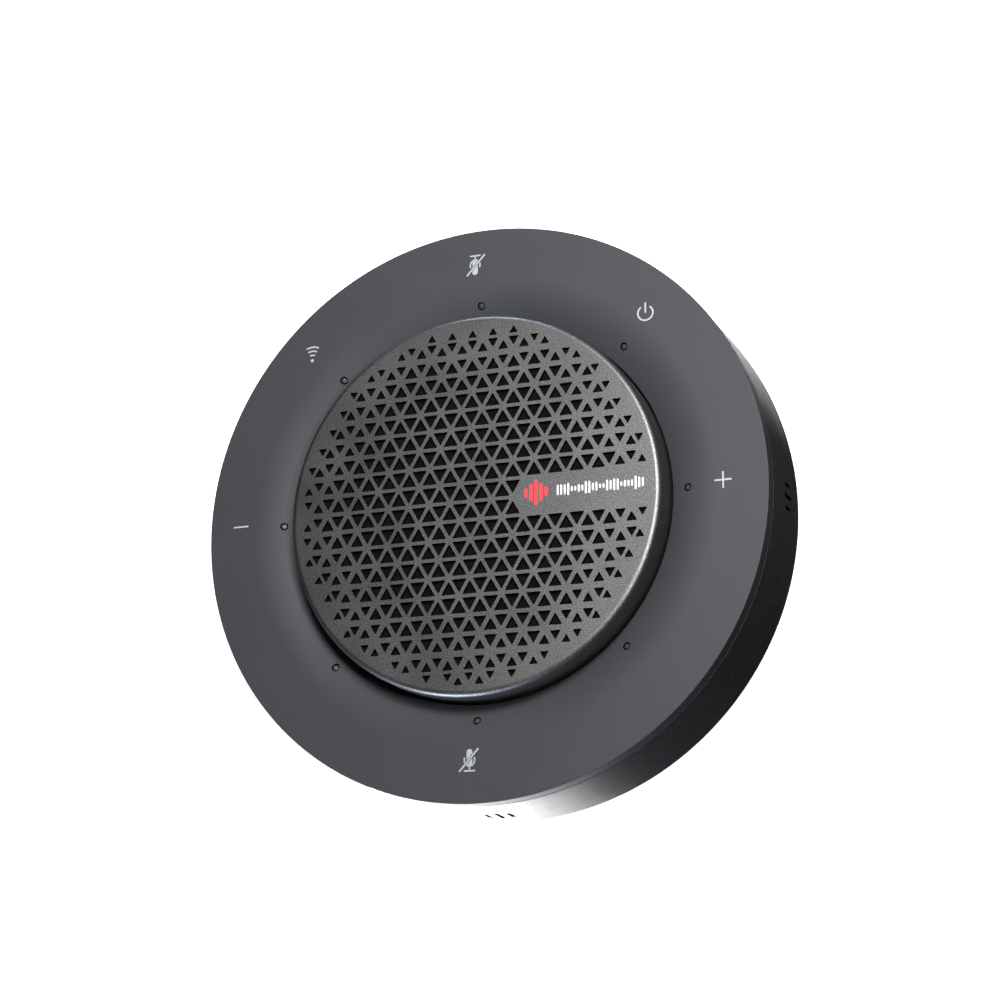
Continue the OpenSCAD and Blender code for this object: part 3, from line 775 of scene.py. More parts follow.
# Nylon moulded without colour: cream, with a satin surface.
NYLON = Finish("moulded_nylon", "#D8D2BE", "#CBC4AE", 0.45, ior=1.53,
               pitch_mm=0.4, depth_mm=0.004)
# PVC film shrunk round a cell: blue and glossy, with slow waves.
SHRINK_WRAP = Finish("PVC_shrink_wrap", "#2E5C8F", "#274F7C", 0.35, ior=1.54,
                     pitch_mm=4.0, depth_mm=0.05, coat=0.2)
# Silicone drawn over a lead: dark red and matt.
LEAD_SLEEVE = Finish("silicone_lead_sleeve", "#8C2A26", "#74221F", 0.5, ior=1.41,
                     pitch_mm=0.6, depth_mm=0.01)


# ---- Sizes that the frame gives ----


def top_of(node: str) -> float:
    """Highest point of a node, in millimetres."""
    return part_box(node)[1].z / MM


def low_of(node: str) -> float:
    """Lowest point of a node, in millimetres."""
    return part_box(node)[0].z / MM


def radius_of(node: str) -> float:
    """Greatest reach of a round node from the axis, in millimetres."""
    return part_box(node)[1].x / MM


# ---- Touch ring ----


@dataclass
class TouchRing:
    """The painted ring with its lights.

    Attributes:
        ring_t: Wall thickness.
        flat_r: Radius where the flat ends and rolls down to the grille.
        roll_r: Radius of that roll in section.
        lip_r: Radius of the opening.
        flange_t: Thickness of the flange under the lip.
        skirt_h: Height of the skirt.
        tongue_t: Thickness of the tongue that enters the lower shell.
        tongue_h: Its height.
        tongue_r: Its outer radius.
        edge_r: Round on the outer edge.
        lip_round: Round on the lip.
        seam_edge: Round at the seam with the lower shell.
        tongue_edge: Round on the tongue.
        under_edge: Round in the corner under the flat.
        hole_ease: How much further the light holes are drawn back than the gap.
        hole_edge: Chamfer of the light holes.
        led_n: Number of lights.
        led_r: Radius of the circle of lights.
        lens_d: Diameter of a light pipe.
        lens_gap: Gap round it.
        lens_ease: How much slimmer a pipe is drawn, so that a dark line shows round it.
        collar_d: Diameter of its collar.
        collar_t: Thickness of its collar.
        stem_h: Height of the straight stem over the collar.
        dome_sink: How far a dome's rim lies below the ring.
        dome_h: Height of the dome.
        boss_at: Radius of the circle of screw bosses.
        boss_r: Radius of a boss.
        pilot_r: Radius of its pilot hole.
        boss_n: Number of bosses.
        boss_turn: Azimuth of the first boss, in degrees.
        boss_root: How far a boss reaches into the ring's underside.
        pilot_end: How far under the ring a pilot hole ends.
        window_rim: Room that a window leaves round a light hole.
        window_half: Half width of that window, in degrees.
    """

    # Radii of a dome's circles, as shares of its own.
    DOME = (1.0, 0.94, 0.82, 0.62, 0.36, 0.12)

    ring_t: float = 1.8
    flat_r: float = 49.25
    roll_r: float = 16.6
    lip_r: float = 39.6
    flange_t: float = 1.4
    skirt_h: float = 3.45
    tongue_t: float = 1.2
    tongue_h: float = 1.8
    tongue_r: float = 57.25
    edge_r: float = 0.22
    lip_round: float = 0.24
    seam_edge: float = 0.12
    tongue_edge: float = 0.2
    under_edge: float = 0.3
    hole_ease: float = 0.03
    hole_edge: float = 0.04
    led_n: int = 8
    led_r: float = 43.07
    lens_d: float = 1.1
    lens_gap: float = 0.18
    lens_ease: float = 0.04
    collar_d: float = 2.4
    collar_t: float = 0.4
    stem_h: float = 0.5
    dome_sink: float = 0.09
    dome_h: float = 0.08
    boss_at: float = 53.15
    boss_r: float = 2.0
    pilot_r: float = 1.02
    boss_n: int = 4
    boss_turn: float = 22.5
    boss_root: float = 0.02
    pilot_end: float = 0.4
    window_rim: float = 0.3
    window_half: float = 2.0

    def __post_init__(self) -> None:
        """Reads the levels and the outer radius from the frame."""
        self.top_z = top_of("top_ring")
        self.low_z = low_of("top_ring")
        self.out_r = radius_of("top_ring")
        self.seam_z = self.top_z - self.skirt_h
        self.roll_z = self.top_z - self.roll_r

    def roll(self, radius: float, in_r: float, steps: int) -> Outline:
        """The roll in section from a radius out to the flat.

        Args:
            radius: Radius of the roll.
            in_r: Where it starts.
            steps: Chords.

        Returns:
            Its points, outward.
        """
        swing = degrees(acos((self.flat_r - in_r) / radius))
        return arc((self.flat_r, self.roll_z), radius, 180 - swing, 90, steps)

    def section(self) -> Section:
        """The ring in section: lip, roll, flat, edge, skirt, tongue, and the underside back."""
        section = Section()
        slope = self.roll(self.roll_r, self.lip_r, 40)
        lip = rounded([(self.lip_r, self.low_z, 0), (*slope[0], self.lip_round), (*slope[2], 0)])
        section.add("lip", lip[:-1])
        section.add("roll", slope[2:])
        inner = self.tongue_r - self.tongue_t
        tongue_z = self.seam_z - self.tongue_h
        under_z = self.top_z - self.ring_t
        outside = rounded([(self.flat_r + 0.3, self.top_z, 0), (self.out_r, self.top_z, self.edge_r),
                           (self.out_r, self.seam_z, self.seam_edge), (self.tongue_r, self.seam_z, 0),
                           (self.tongue_r, tongue_z, self.tongue_edge),
                           (inner, tongue_z, self.tongue_edge), (inner, under_z, self.under_edge),
                           (self.flat_r + 1, under_z, 0)], 6)
        section.add("outside", outside)
        under = self.roll(self.roll_r - self.ring_t, self.lip_r + self.flange_t, 30)
        section.add("under", under[::-1])
        section.add("flange", [(self.lip_r + self.flange_t, self.low_z)])
        return section

    @staticmethod
    def on_profile(profile: Outline, centre: Point2, radius: float, sink: float = 0.0) -> Loop:
        """An upright circle where it meets a turned surface.

        Args:
            profile: The surface's section.
            centre: Middle of the circle.
            radius: Its radius.
            sink: How far below the surface it lies.

        Returns:
            Its points.
        """
        return [(x, y, height_at(profile, hypot(x, y)) - sink) for x, y in circle(centre, radius)]

    def build(self) -> bpy.types.Object:
        """Builds the painted ring with its light holes and screw bosses."""
        maker = MeshMaker("touch_ring")
        section = self.section()
        roll, under = section.stretch("roll"), section.stretch("under")
        hole_r = self.lens_d / 2 + self.lens_gap + self.hole_ease
        windows = []
        for i in range(self.led_n):
            azimuth = i * FULL_TURN / self.led_n
            centre = turned((self.led_r, 0), azimuth)
            loops = [self.on_profile(roll, centre, hole_r + self.hole_edge),
                     self.on_profile(roll, centre, hole_r, self.hole_edge),
                     self.on_profile(under, centre, hole_r)]
            maker.wall(*loops)
            for name, loop in (("roll", loops[0]), ("under", loops[-1])):
                windows.append(section.window(name, Along.RADIUS, self.led_r, hole_r + self.window_rim,
                                              azimuth, self.window_half, [loop]))
        maker.lathe(section.points, windows)
        self.add_bosses(maker)
        # The light holes' walls take the painted shade.
        ring = maker.finish(SOFT_TOUCH_PAINT.build(), HOLE_SHADE_BLACK.build())
        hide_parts("top_ring")
        return ring

    def add_bosses(self, maker: MeshMaker) -> None:
        """Adds the hollow screw bosses under the flat."""
        top = self.top_z - self.ring_t
        for i in range(self.boss_n):
            spot = turned((self.boss_at, 0), self.boss_turn + i * FULL_TURN / self.boss_n)
            levels = ((self.boss_r, top - self.boss_root), (self.boss_r, self.low_z),
                      (self.pilot_r, self.low_z), (self.pilot_r, top - self.pilot_end))
            maker.stack(tube(spot, levels, 24))

    def build_lenses(self) -> None:
        """Builds the domed light pipes, whose tops follow the roll."""
        profile = self.section().stretch("roll")
        for i in range(self.led_n):
            node = f"led_lens_{i + 1}"
            centre = turned((self.led_r, 0), i * FULL_TURN / self.led_n)
            maker = MeshMaker(f"light_pipe_{i + 1}")
            low = low_of(node)
            neck = low + self.collar_t
            collar_r, radius = self.collar_d / 2, self.lens_d / 2 - self.lens_ease
            loops = tube(centre, ((collar_r, low), (collar_r, neck), (radius, neck),
                                  (radius, neck + self.stem_h)))
            for share in self.DOME:
                sink = self.dome_sink - self.dome_h * sqrt(1 - share ** 2)
                loops.append(self.on_profile(profile, centre, radius * share, sink))
            maker.stack(loops)
            lens = maker.finish(LIGHT_PIPE.build())
            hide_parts(node)


# ---- Printed marks ----


def strip(start: Point2, end: Point2, width: float, round_ends: bool = False) -> Outline:
    """A straight stroke as a convex outline.

    Args:
        start: Middle of its first end.
        end: Middle of its last end.
        width: Stroke width.
        round_ends: True gives full round ends.

    Returns:
        The outline, anticlockwise.
    """
    along = Vector(end) - Vector(start)
    angle = degrees(atan2(along.y, along.x))
    if round_ends:
        return (arc(end, width / 2, angle - 90, angle + 90, 8)
                + arc(start, width / 2, angle + 90, angle + 270, 8))
    side = Vector((-along.y, along.x)).normalized() * width / 2
    ends = [Vector(start) - side, Vector(end) - side, Vector(end) + side, Vector(start) + side]
    return [tuple(p) for p in ends]


def bow(centre: Point2, radius: float, start: float, end: float, width: float,
        steps: int = 20) -> list[Outline]:
    """A curved stroke as a row of four-sided outlines.

    Args:
        centre: Middle of its circle.
        radius: Radius of its middle line.
        start: First angle, in degrees.
        end: Last angle, in degrees.
        width: Stroke width.
        steps: Number of outlines.

    Returns:
        The outlines.
    """
    outer = arc(centre, radius + width / 2, start, end, steps)
    inner = arc(centre, radius - width / 2, start, end, steps)
    return [[inner[i], outer[i], outer[i + 1], inner[i + 1]] for i in range(steps)]


def clipped(outline: Outline, normal: Vector, offset: float) -> Outline:
    """The part of a convex outline that lies beyond a line.

    Args:
        outline: The outline.
        normal: Unit direction across the line.
        offset: Distance of the line from the middle, along that direction.

    Returns:
        The part, empty if none is left.
    """
    kept: Outline = []
    for i, point in enumerate(outline):
        after = outline[(i + 1) % len(outline)]
        a, b = normal.dot(Vector(point)) - offset, normal.dot(Vector(after)) - offset
        if a >= 0:
            kept.append(point)
        if a * b < 0:
            kept.append(tuple(Vector(point).lerp(Vector(after), a / (a - b))))
    return kept


class Glyph(Enum):
    """The printed touch keys."""

    MUTE = "mute"
    PLUS = "plus"
    MINUS = "minus"
    POWER = "power"
    WIRELESS = "wireless"


@dataclass
class KeyPrint:
    """The grey symbols printed on the ring, drawn in millimetres round their own middles.

    Attributes:
        print_r: Radius of the circle that their middles lie on.
        shift: How far the print lies off the ring's axis.
        stroke: Width of a thin stroke.
        arm: Half length of the plus and the minus.
        stand_w: Width of the lines of the microphone's stand.
        cradle_r: Radius of its cradle.
        strike_gap: Gap beside the line that strikes the microphone out.
        thick: How far the ink stands proud.
        sink: How far it reaches into the paint.
    """

    # Key, azimuth of its middle, and turn of the symbol, in degrees.
    KEYS = ((Glyph.PLUS, 0, 0), (Glyph.POWER, 45, 0), (Glyph.MUTE, 90, 180),
            (Glyph.WIRELESS, 135, 0), (Glyph.MINUS, 180, 0), (Glyph.MUTE, 270, 0))

    print_r: float = 51.4
    shift: Point2 = (-1.0, 0.45)
    stroke: float = 0.34
    arm: float = 1.7
    stand_w: float = 0.3
    cradle_r: float = 1.05
    strike_gap: float = 0.16
    thick: float = 0.02
    sink: float = 0.02

    def mute(self) -> list[Outline]:
        """A microphone on its stand, struck through, with a thin gap beside the stroke."""
        centre = (0.0, -0.05)
        arms = [strip((x, 0.6), (x, centre[1]), self.stand_w) for x in (-self.cradle_r, self.cradle_r)]
        cradle = bow(centre, self.cradle_r, 180, 360, self.stand_w)
        stand = [strip((0, -1.15), (0, -1.95), self.stand_w),
                 strip((-1.02, -2.03), (1.02, -2.03), 0.33, True)]
        body = strip((0, -0.42), (0, 1.6), 1.2, True)
        shapes = [body, *arms, *cradle, *stand]
        start, end = Vector((-2.1, -2.1)), Vector((1.8, 2.25))
        normal = Vector((start.y - end.y, end.x - start.x)).normalized()
        middle, keep = normal.dot(start), self.stroke / 2 + self.strike_gap
        halves = [clipped(shape, side * normal, side * middle + keep)
                  for shape in shapes for side in (-1, 1)]
        return [h for h in halves if len(h) > 2] + [strip(tuple(start), tuple(end), self.stroke)]

    def outlines(self, glyph: Glyph) -> list[Outline]:
        """The strokes of one symbol, round its own middle."""
        if glyph is Glyph.MUTE:
            return self.mute()
        level = strip((-self.arm, 0), (self.arm, 0), self.stroke)
        if glyph is Glyph.MINUS:
            return [level]
        if glyph is Glyph.PLUS:
            half = self.stroke / 2
            return [level, strip((0, half), (0, self.arm), self.stroke),
                    strip((0, -self.arm), (0, -half), self.stroke)]
        if glyph is Glyph.POWER:
            return [*bow((0, -0.25), 1.55, 125, 415, self.stroke, 40),
                    strip((0, -0.2), (0, 2.0), self.stroke)]
        foot = (0.0, -1.5)
        waves = [bow(foot, radius, 62, 118, self.stroke) for radius in (1.2, 2.1, 3.0)]
        return [circle(foot, 0.36, 20), *waves[0], *waves[1], *waves[2]]

    def build(self) -> None:
        """Prints each symbol where its key is."""
        level = top_of("top_ring")
        for glyph, azimuth, turn in self.KEYS:
            maker = MeshMaker(f"key_print_{glyph.value}_{azimuth}")
            middle = Vector(turned((self.print_r, 0), azimuth)) + Vector(self.shift)
            place = Matrix.Translation((*middle, level)) @ Matrix.Rotation(radians(turn), 4, "Z")
            for outline in self.outlines(glyph):
                maker.prism(outline, -self.sink, self.thick, place)
            maker.finish(GREY_INK.build())


@dataclass
class LevelMark:
    """A sound-level row printed on the grille's plain band, first bars red and the rest white.

    Attributes:
        start_x: Middle of the first red bar.
        red_bars: Length of each red bar.
        red_pitch: Distance between them.
        red_w: Their width.
        white_x: Middle of the first white bar.
        white_n: Number of white bars.
        white_pitch: Distance between them.
        white_w: Their width.
        white_tall: Their mean length.
        slow: Height of the slow wave in their length, and its turn per bar in radians.
        fast: The same of the fast wave, which starts one radian on.
        middle_y: Middle of the row.
        thick: How far the ink stands proud, and how far it reaches into the coat.
    """

    start_x: float = 11.6
    red_bars: tuple[float, ...] = (2.0, 3.6, 5.2, 3.6, 2.0)
    red_pitch: float = 1.05
    red_w: float = 0.78
    white_x: float = 18.2
    white_n: int = 25
    white_pitch: float = 0.72
    white_w: float = 0.42
    white_tall: float = 1.7
    slow: Point2 = (0.7, 0.9)
    fast: Point2 = (0.5, 2.3)
    middle_y: float = 0.5
    thick: float = 0.02

    def build(self) -> None:
        """Prints the row. The lengths of the white bars follow a slow and a fast wave."""
        level = top_of("speaker_grille")
        red, white = MeshMaker("level_mark_red"), MeshMaker("level_mark_white")
        for i, tall in enumerate(self.red_bars):
            self.bar(red, self.start_x + i * self.red_pitch, tall, self.red_w, level)
        for i in range(self.white_n):
            slow, fast = self.slow[0] * sin(i * self.slow[1]), self.fast[0] * sin(i * self.fast[1] + 1)
            tall = self.white_tall + slow + fast
            self.bar(white, self.white_x + i * self.white_pitch, tall, self.white_w, level)
        red.finish(RED_INK.build())
        white.finish(WHITE_INK.build())

    def bar(self, maker: MeshMaker, x: float, tall: float, width: float, level: float) -> None:
        """Adds one upright bar with round ends.

        Args:
            maker: The mesh that it goes into.
            x: Its middle.
            tall: Its length.
            width: Its width.
            level: Height of its top.
        """
        reach = max(tall - width, 0.02) / 2
        outline = strip((x, self.middle_y - reach), (x, self.middle_y + reach), width, True)
        maker.prism(outline, level - 2 * self.thick, level)


# ---- Grille ----


@dataclass
class Grille:
    """The punched grille over its cloth.

    Attributes:
        sheet_t: Sheet thickness.
        edge_r: Outside round of the edge.
        pitch: Pitch of the triangle lattice.
        large: Side of the largest triangles.
        medium: Side of the middle ones.
        small: Side of the small ones.
        rim: Side of the last ones at the rim.
        step_a: Hexagon where large gives way to medium.
        step_b: Hexagon where medium gives way to small.
        step_c: Radius where the rim's size begins.
        rim_w: Unpierced width inside the edge.
        field_y: How far the round field of holes lies off the centre.
        pull_from: Hexagon beyond which the last rows are pulled in.
        pull: How far they are pulled in.
        band_x: Left end of the plain band.
        corner_r: Round in the punched corners.
        burr: Chamfer round each hole.
        ink: Room left on top for the printed marks.
        plate_rim: Width of the flat between the plate with the holes and the edge's round.
        hem_edge: Round on the lower edge of the drawn wall.
        cloth_t: Thickness of the cloth.
        cloth_rise: How far its rim stands over its CAD solid's foot.
        cloth_sag: How far its middle hangs below its rim.
        cloth_rings: Number of rings in its mesh.
    """

    sheet_t: float = 0.8
    edge_r: float = 1.2
    pitch: float = 4.42
    large: float = 3.05
    medium: float = 2.72
    small: float = 2.13
    rim: float = 1.76
    step_a: float = 22.1
    step_b: float = 28.8
    step_c: float = 34.6
    rim_w: float = 2.23
    field_y: float = -0.12
    pull_from: float = 35.0
    pull: float = 0.7
    band_x: float = 9.1
    corner_r: float = 0.1
    burr: float = 0.035
    ink: float = 0.02
    plate_rim: float = 0.1
    hem_edge: float = 0.15
    cloth_t: float = 0.15
    cloth_rise: float = 0.2
    cloth_sag: float = 0.12
    cloth_rings: int = 24

    def __post_init__(self) -> None:
        """Reads the levels and the radius from the frame."""
        self.top_z = top_of("speaker_grille") - self.ink
        self.low_z = low_of("speaker_grille")
        self.out_r = radius_of("speaker_grille")
        self.row_h = self.pitch * sqrt(3) / 2

    @staticmethod
    def across(x: float, y: float) -> float:
        """Distance of x, y from the centre, measured across a hexagon with level sides."""
        return max(abs(y), abs(y) / 2 + abs(x) * sqrt(3) / 2)

    def side(self, x: float, y: float) -> float:
        """Side of the hole whose place on the lattice is x, y."""
        if hypot(x, y) > self.step_c:
            return self.rim
        if self.across(x, y) > self.step_b:
            return self.small
        return self.medium if self.across(x, y) > self.step_a else self.large

    def punched(self, x: float, y: float) -> Point2:
        """Where the hole whose place on the lattice is x, y is punched."""
        if self.across(x, y) <= self.pull_from:
            return x, y
        normal = radians(degrees(atan2(y, x)) // 60 * 60 + 30)
        return x - self.pull * cos(normal), y - self.pull * sin(normal)

    def middles(self) -> list[tuple[float, float, int]]:
        """Middle and pointing of each triangle on the lattice that is punched."""
        rows, columns = ceil(self.out_r / self.row_h), ceil(self.out_r / self.pitch) + 1
        found = []
        for row in range(-rows, rows):
            for column in range(-columns, columns + 1):
                for way in (-1, 1):
                    x = (column + (row % 2) / 2 + (0.5 if way > 0 else 0)) * self.pitch
                    y = (row + (1 / 3 if way > 0 else 2 / 3)) * self.row_h
                    on_band = abs(y) < self.row_h and x > self.band_x
                    if hypot(x, y - self.field_y) < self.out_r - self.rim_w and not on_band:
                        found.append((x, y, way))
        return found

    def hole(self, x: float, y: float, way: int, grow: float) -> Outline:
        """Outline of one punched triangle.

        Args:
            x: Its middle.
            y: Its middle.
            way: 1 if it points up, -1 down.
            grow: How far its sides move out.

        Returns:
            The outline with rounded corners.
        """
        reach = self.side(x, y) / sqrt(3) + 2 * grow
        angles = [radians(way * 90 + k * 120) for k in range(3)]
        px, py = self.punched(x, y)
        corners = [(px + reach * cos(a), py + reach * sin(a), self.corner_r + grow) for a in angles]
        return rounded(corners, 3, False)

    def build(self) -> bpy.types.Object:
        """Builds the punched and drawn sheet."""
        maker = MeshMaker("punched_grille")
        under = self.top_z - self.sheet_t
        inner_r = self.out_r - self.sheet_t
        middle = (self.out_r - self.edge_r, self.top_z - self.edge_r)
        plate_r = middle[0] - self.plate_rim
        wall_z = middle[1] - self.plate_rim
        hem = rounded([(self.out_r, wall_z, 0), (self.out_r, self.low_z, self.hem_edge),
                       (inner_r, self.low_z, self.hem_edge), (inner_r, wall_z, 0)], 3)
        maker.lathe([(plate_r, self.top_z), *arc(middle, self.edge_r, 90, 0, 14), *hem,
                     *arc(middle, self.edge_r - self.sheet_t, 0, 90, 8), (plate_r, under)],
                    closed=False)
        tops, bottoms = [], []
        for x, y, way in self.middles():
            wide, narrow = self.hole(x, y, way, self.burr), self.hole(x, y, way, 0)
            levels = ((wide, self.top_z), (narrow, self.top_z - self.burr), (narrow, under))
            loops = [[(px, py, z) for px, py in outline] for outline, z in levels]
            maker.wall(*loops)
            tops.append(loops[0])
            bottoms.append(loops[-1])
        rim = circle((0, 0), plate_r, TURN_STEPS)
        for level, loops in ((self.top_z, tops), (under, bottoms)):
            flat = [[(x, y) for x, y, _ in loop] for loop in loops]
            maker.fill(rim, [(x, y, level) for x, y in rim], flat, loops)
        # The punched holes' walls take the painted shade.
        grille = maker.finish(FLAKE_POWDER_COAT.build(), GRILLE_HOLE_SHADE.build())
        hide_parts("speaker_grille")
        return grille

    def build_cloth(self) -> bpy.types.Object:
        """Stretches the acoustic cloth under the holes: a disc that sags a little."""
        radius, level = radius_of("grille_cloth"), low_of("grille_cloth")
        maker = MeshMaker("acoustic_cloth")
        rings = [radius * i / self.cloth_rings for i in range(self.cloth_rings + 1)]
        section = [(r, level + self.cloth_rise - self.cloth_sag * cos(r / radius * pi / 2))
                   for r in rings]
        maker.lathe(section + [(r, z + self.cloth_t) for r, z in reversed(section)])
        cloth = maker.finish(ACOUSTIC_CLOTH.build())
        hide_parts("grille_cloth")
        return cloth


# ---- Lower shell ----


@dataclass
class LowerShell:
    """The textured lower shell with its microphone slots, inlet recess, foot groove and bosses.

    Attributes:
        wall_t: Wall thickness at the seam.
        floor_t: Floor thickness.
        bottom_round: Round between wall and floor.
        wall_lean: How far the wall leans in up to the seam.
        rim_edge: Round on the rim at the seam.
        rim_h: Height of the rim's own rows.
        fillet: Round between wall and floor inside.
        wall_rows: Rows in the wall, outside and inside.
        floor_rs: Radii of the inner floor's rows.
        slot_z: Height of the slots' middle.
        slots: Length of each slot and its place across, in pitches.
        slot_w: Width of a slot.
        slot_pitch: Distance between slots.
        slot_mouth: How much wider and longer a slot's mouth is.
        slot_sink: Radius of the mouth's inner edge, as a share of the wall's.
        mic_n: Number of microphones.
        usb_az: Direction of the inlet.
        usb_w: Width of its receptacle.
        usb_h: Height of its receptacle.
        usb_z: Height of its middle.
        usb_rim: Width of the recess beyond the receptacle.
        usb_gap: Gap round the receptacle.
        usb_face_r: Distance of the recess's floor from the axis.
        usb_mouth: How much wider the recess's mouth is.
        usb_sink: Radius of that mouth's inner edge, as a share of the wall's.
        foot_fit: Gap beside the foot in its groove.
        foot_recess: Depth of that groove.
        foot_in_r: Inner radius of the foot.
        sole_edge: Round on the foot's outer edges.
        foot_edge: Round on its other edges.
        groove_edge: Round inside the groove in its sole.
        sole_groove: Half width of the groove in the foot's sole.
        sole_depth: Depth of that groove.
        case_screw_n: Number of case screws.
        column_r: Radius of a case screw's column.
        column_top: Height of its top.
        board_bosses: Azimuth of each of the board's screw bosses.
        board_screw_r: Radius of the circle that they stand on.
        board_boss_r: Radius of a boss.
        pilot_r: Radius of its pilot hole.
        pass_r: Radius of a case screw's hole.
        head_r: Radius of the sunk hole for its head.
        head_seat_z: Height of its head's seat.
        mic_w: Width of a microphone's board.
        mic_top: Height of the ribs that hold it.
        rib_in_r: Inner end of a rib.
        rib_out_r: Outer end of a rib.
        rib_t: Thickness of a rib.
        rib_gap: Gap between a rib and the board.
        overlap: How far a rib's foot reaches into the floor.
    """

    wall_t: float = 2.0
    floor_t: float = 2.0
    bottom_round: float = 2.6
    wall_lean: float = 0.65
    rim_edge: float = 0.15
    rim_h: float = 0.6
    fillet: float = 1.0
    wall_rows: int = 24
    floor_rs: tuple[float, ...] = (51.2, 47.0, 42.8, 39.6, 36.0, 32.4, 0.0)
    slot_z: float = 10.8
    slots: tuple[tuple[float, int], ...] = ((3.7, -1), (5.0, 0), (3.7, 1))
    slot_w: float = 0.8
    slot_pitch: float = 2.42
    slot_mouth: float = 0.12
    slot_sink: float = 0.999
    mic_n: int = 4
    usb_az: float = 135.0
    usb_w: float = 8.94
    usb_h: float = 3.26
    usb_z: float = 9.03
    usb_rim: float = 1.3
    usb_gap: float = 0.35
    usb_face_r: float = 58.25
    usb_mouth: float = 0.16
    usb_sink: float = 0.9988
    foot_fit: float = 0.1
    foot_recess: float = 0.6
    foot_in_r: float = 43.5
    sole_edge: float = 0.25
    foot_edge: float = 0.1
    groove_edge: float = 0.08
    sole_groove: float = 0.4
    sole_depth: float = 0.3
    case_screw_n: int = 4
    column_r: float = 3.0
    column_top: float = 4.7
    board_bosses: tuple[int, ...] = (32, 70, 112, 158)
    board_screw_r: float = 36.0
    board_boss_r: float = 2.4
    pilot_r: float = 1.02
    pass_r: float = 1.2
    head_r: float = 2.1
    head_seat_z: float = 3.2
    mic_w: float = 9.0
    mic_top: float = 14.6
    rib_in_r: float = 54.35
    rib_out_r: float = 57.3
    rib_t: float = 1.0
    rib_gap: float = 0.15
    overlap: float = 0.01

    def __post_init__(self) -> None:
        """Reads the levels and radii from the frame."""
        self.case_r = radius_of("lower_shell")
        self.low_z = low_of("lower_shell")
        self.top_z = top_of("lower_shell")
        self.ring_r = self.case_r - self.wall_lean
        self.inner_r = self.ring_r - self.wall_t
        self.floor_z = self.low_z + self.floor_t
        self.foot_out_r = radius_of("foot_ring")
        self.board_z = low_of("main_board")
        self.case_screw_r = (self.foot_in_r + self.foot_out_r) / 2

    def section(self) -> Section:
        """The shell in section: floor outside, foot groove, wall, rim, and the inside back."""
        section = Section()
        groove_in, groove_out = self.foot_in_r - self.foot_fit, self.foot_out_r + self.foot_fit
        groove_z = self.low_z + self.foot_recess
        section.add("floor", [(0, self.low_z), (groove_in - 0.05, self.low_z), (groove_in, self.low_z)])
        groove = (groove_in, groove_in + 0.8, groove_out - 0.8, groove_out)
        section.add("groove", [(r, groove_z) for r in groove])
        section.add("apron", [(groove_out, self.low_z),
                              (self.case_r - self.bottom_round - 0.1, self.low_z)])
        foot = (self.case_r - self.bottom_round, self.low_z + self.bottom_round)
        section.add("round", arc(foot, self.bottom_round, -90, 0, 16))
        rise = self.top_z - foot[1]
        rows = [foot[1] + rise * k / self.wall_rows for k in range(1, self.wall_rows)]
        section.add("wall", [(self.case_r - self.wall_lean * (z - foot[1]) / rise, z) for z in rows])
        rim_z = self.top_z - self.rim_h
        rim = rounded([(self.ring_r + 0.02, rim_z, 0), (self.ring_r, self.top_z, self.rim_edge),
                       (self.inner_r, self.top_z, self.rim_edge), (self.inner_r, rim_z, 0)], 4)
        section.add("rim", rim[1:-1])
        low = self.floor_z + self.fillet
        drop = self.top_z - low - self.rim_h
        section.add("inside", [(self.inner_r, rim_z - drop * k / self.wall_rows)
                               for k in range(self.wall_rows)])
        fillet_r = self.inner_r - self.fillet
        section.add("fillet", arc((fillet_r, low), self.fillet, 0, -90, 8))
        section.add("inner_floor", [(r, self.floor_z) for r in (fillet_r - 0.1, *self.floor_rs)])
        return section

    @staticmethod
    def on_wall(profile: Outline, outline: Outline, azimuth: float, level: float) -> Loop:
        """An outline pushed out radially until it meets a turned wall.

        Args:
            profile: The wall's section.
            outline: Across and up, round its middle.
            azimuth: Direction it is pushed in.
            level: Height of its middle.

        Returns:
            Its points on the wall.
        """
        loop = []
        for across, up in outline:
            radius = radius_at(profile, level + up)
            reach = sqrt(radius ** 2 - across ** 2)
            loop.append((*turned((reach, across), azimuth), level + up))
        return loop

    @staticmethod
    def at_plane(outline: Outline, azimuth: float, level: float, reach: float) -> Loop:
        """An outline on the upright plane that stands at a distance along an azimuth."""
        return [(*turned((reach, across), azimuth), level + up) for across, up in outline]

    def cut_slots(self, maker: MeshMaker, section: Section) -> list[Window]:
        """Cuts the microphone slots through the wall.

        Args:
            maker: The shell's mesh.
            section: Its section.

        Returns:
            The windows in the wall's two faces.
        """
        wall, inside = section.stretch("wall"), section.stretch("inside")
        windows = []
        reach = max(length for length, _ in self.slots) / 2 + 0.5
        for i in range(self.mic_n):
            azimuth = i * FULL_TURN / self.mic_n
            outer, inner = [], []
            for length, place in self.slots:
                turn = azimuth + degrees(place * self.slot_pitch / self.case_r)
                slot = stadium(self.slot_w, length)
                mouth = stadium(self.slot_w + self.slot_mouth, length + self.slot_mouth)
                face = self.on_wall(wall, mouth, turn, self.slot_z)
                sunk = [(x * self.slot_sink, y * self.slot_sink, z)
                        for x, y, z in self.on_wall(wall, slot, turn, self.slot_z)]
                back = self.on_wall(inside, slot, turn, self.slot_z)
                maker.wall(face, sunk, back)
                outer.append(face)
                inner.append(back)
            windows += [section.window(name, Along.HEIGHT, self.slot_z, reach, azimuth, 4, loops)
                        for name, loops in (("wall", outer), ("inside", inner))]
        return windows

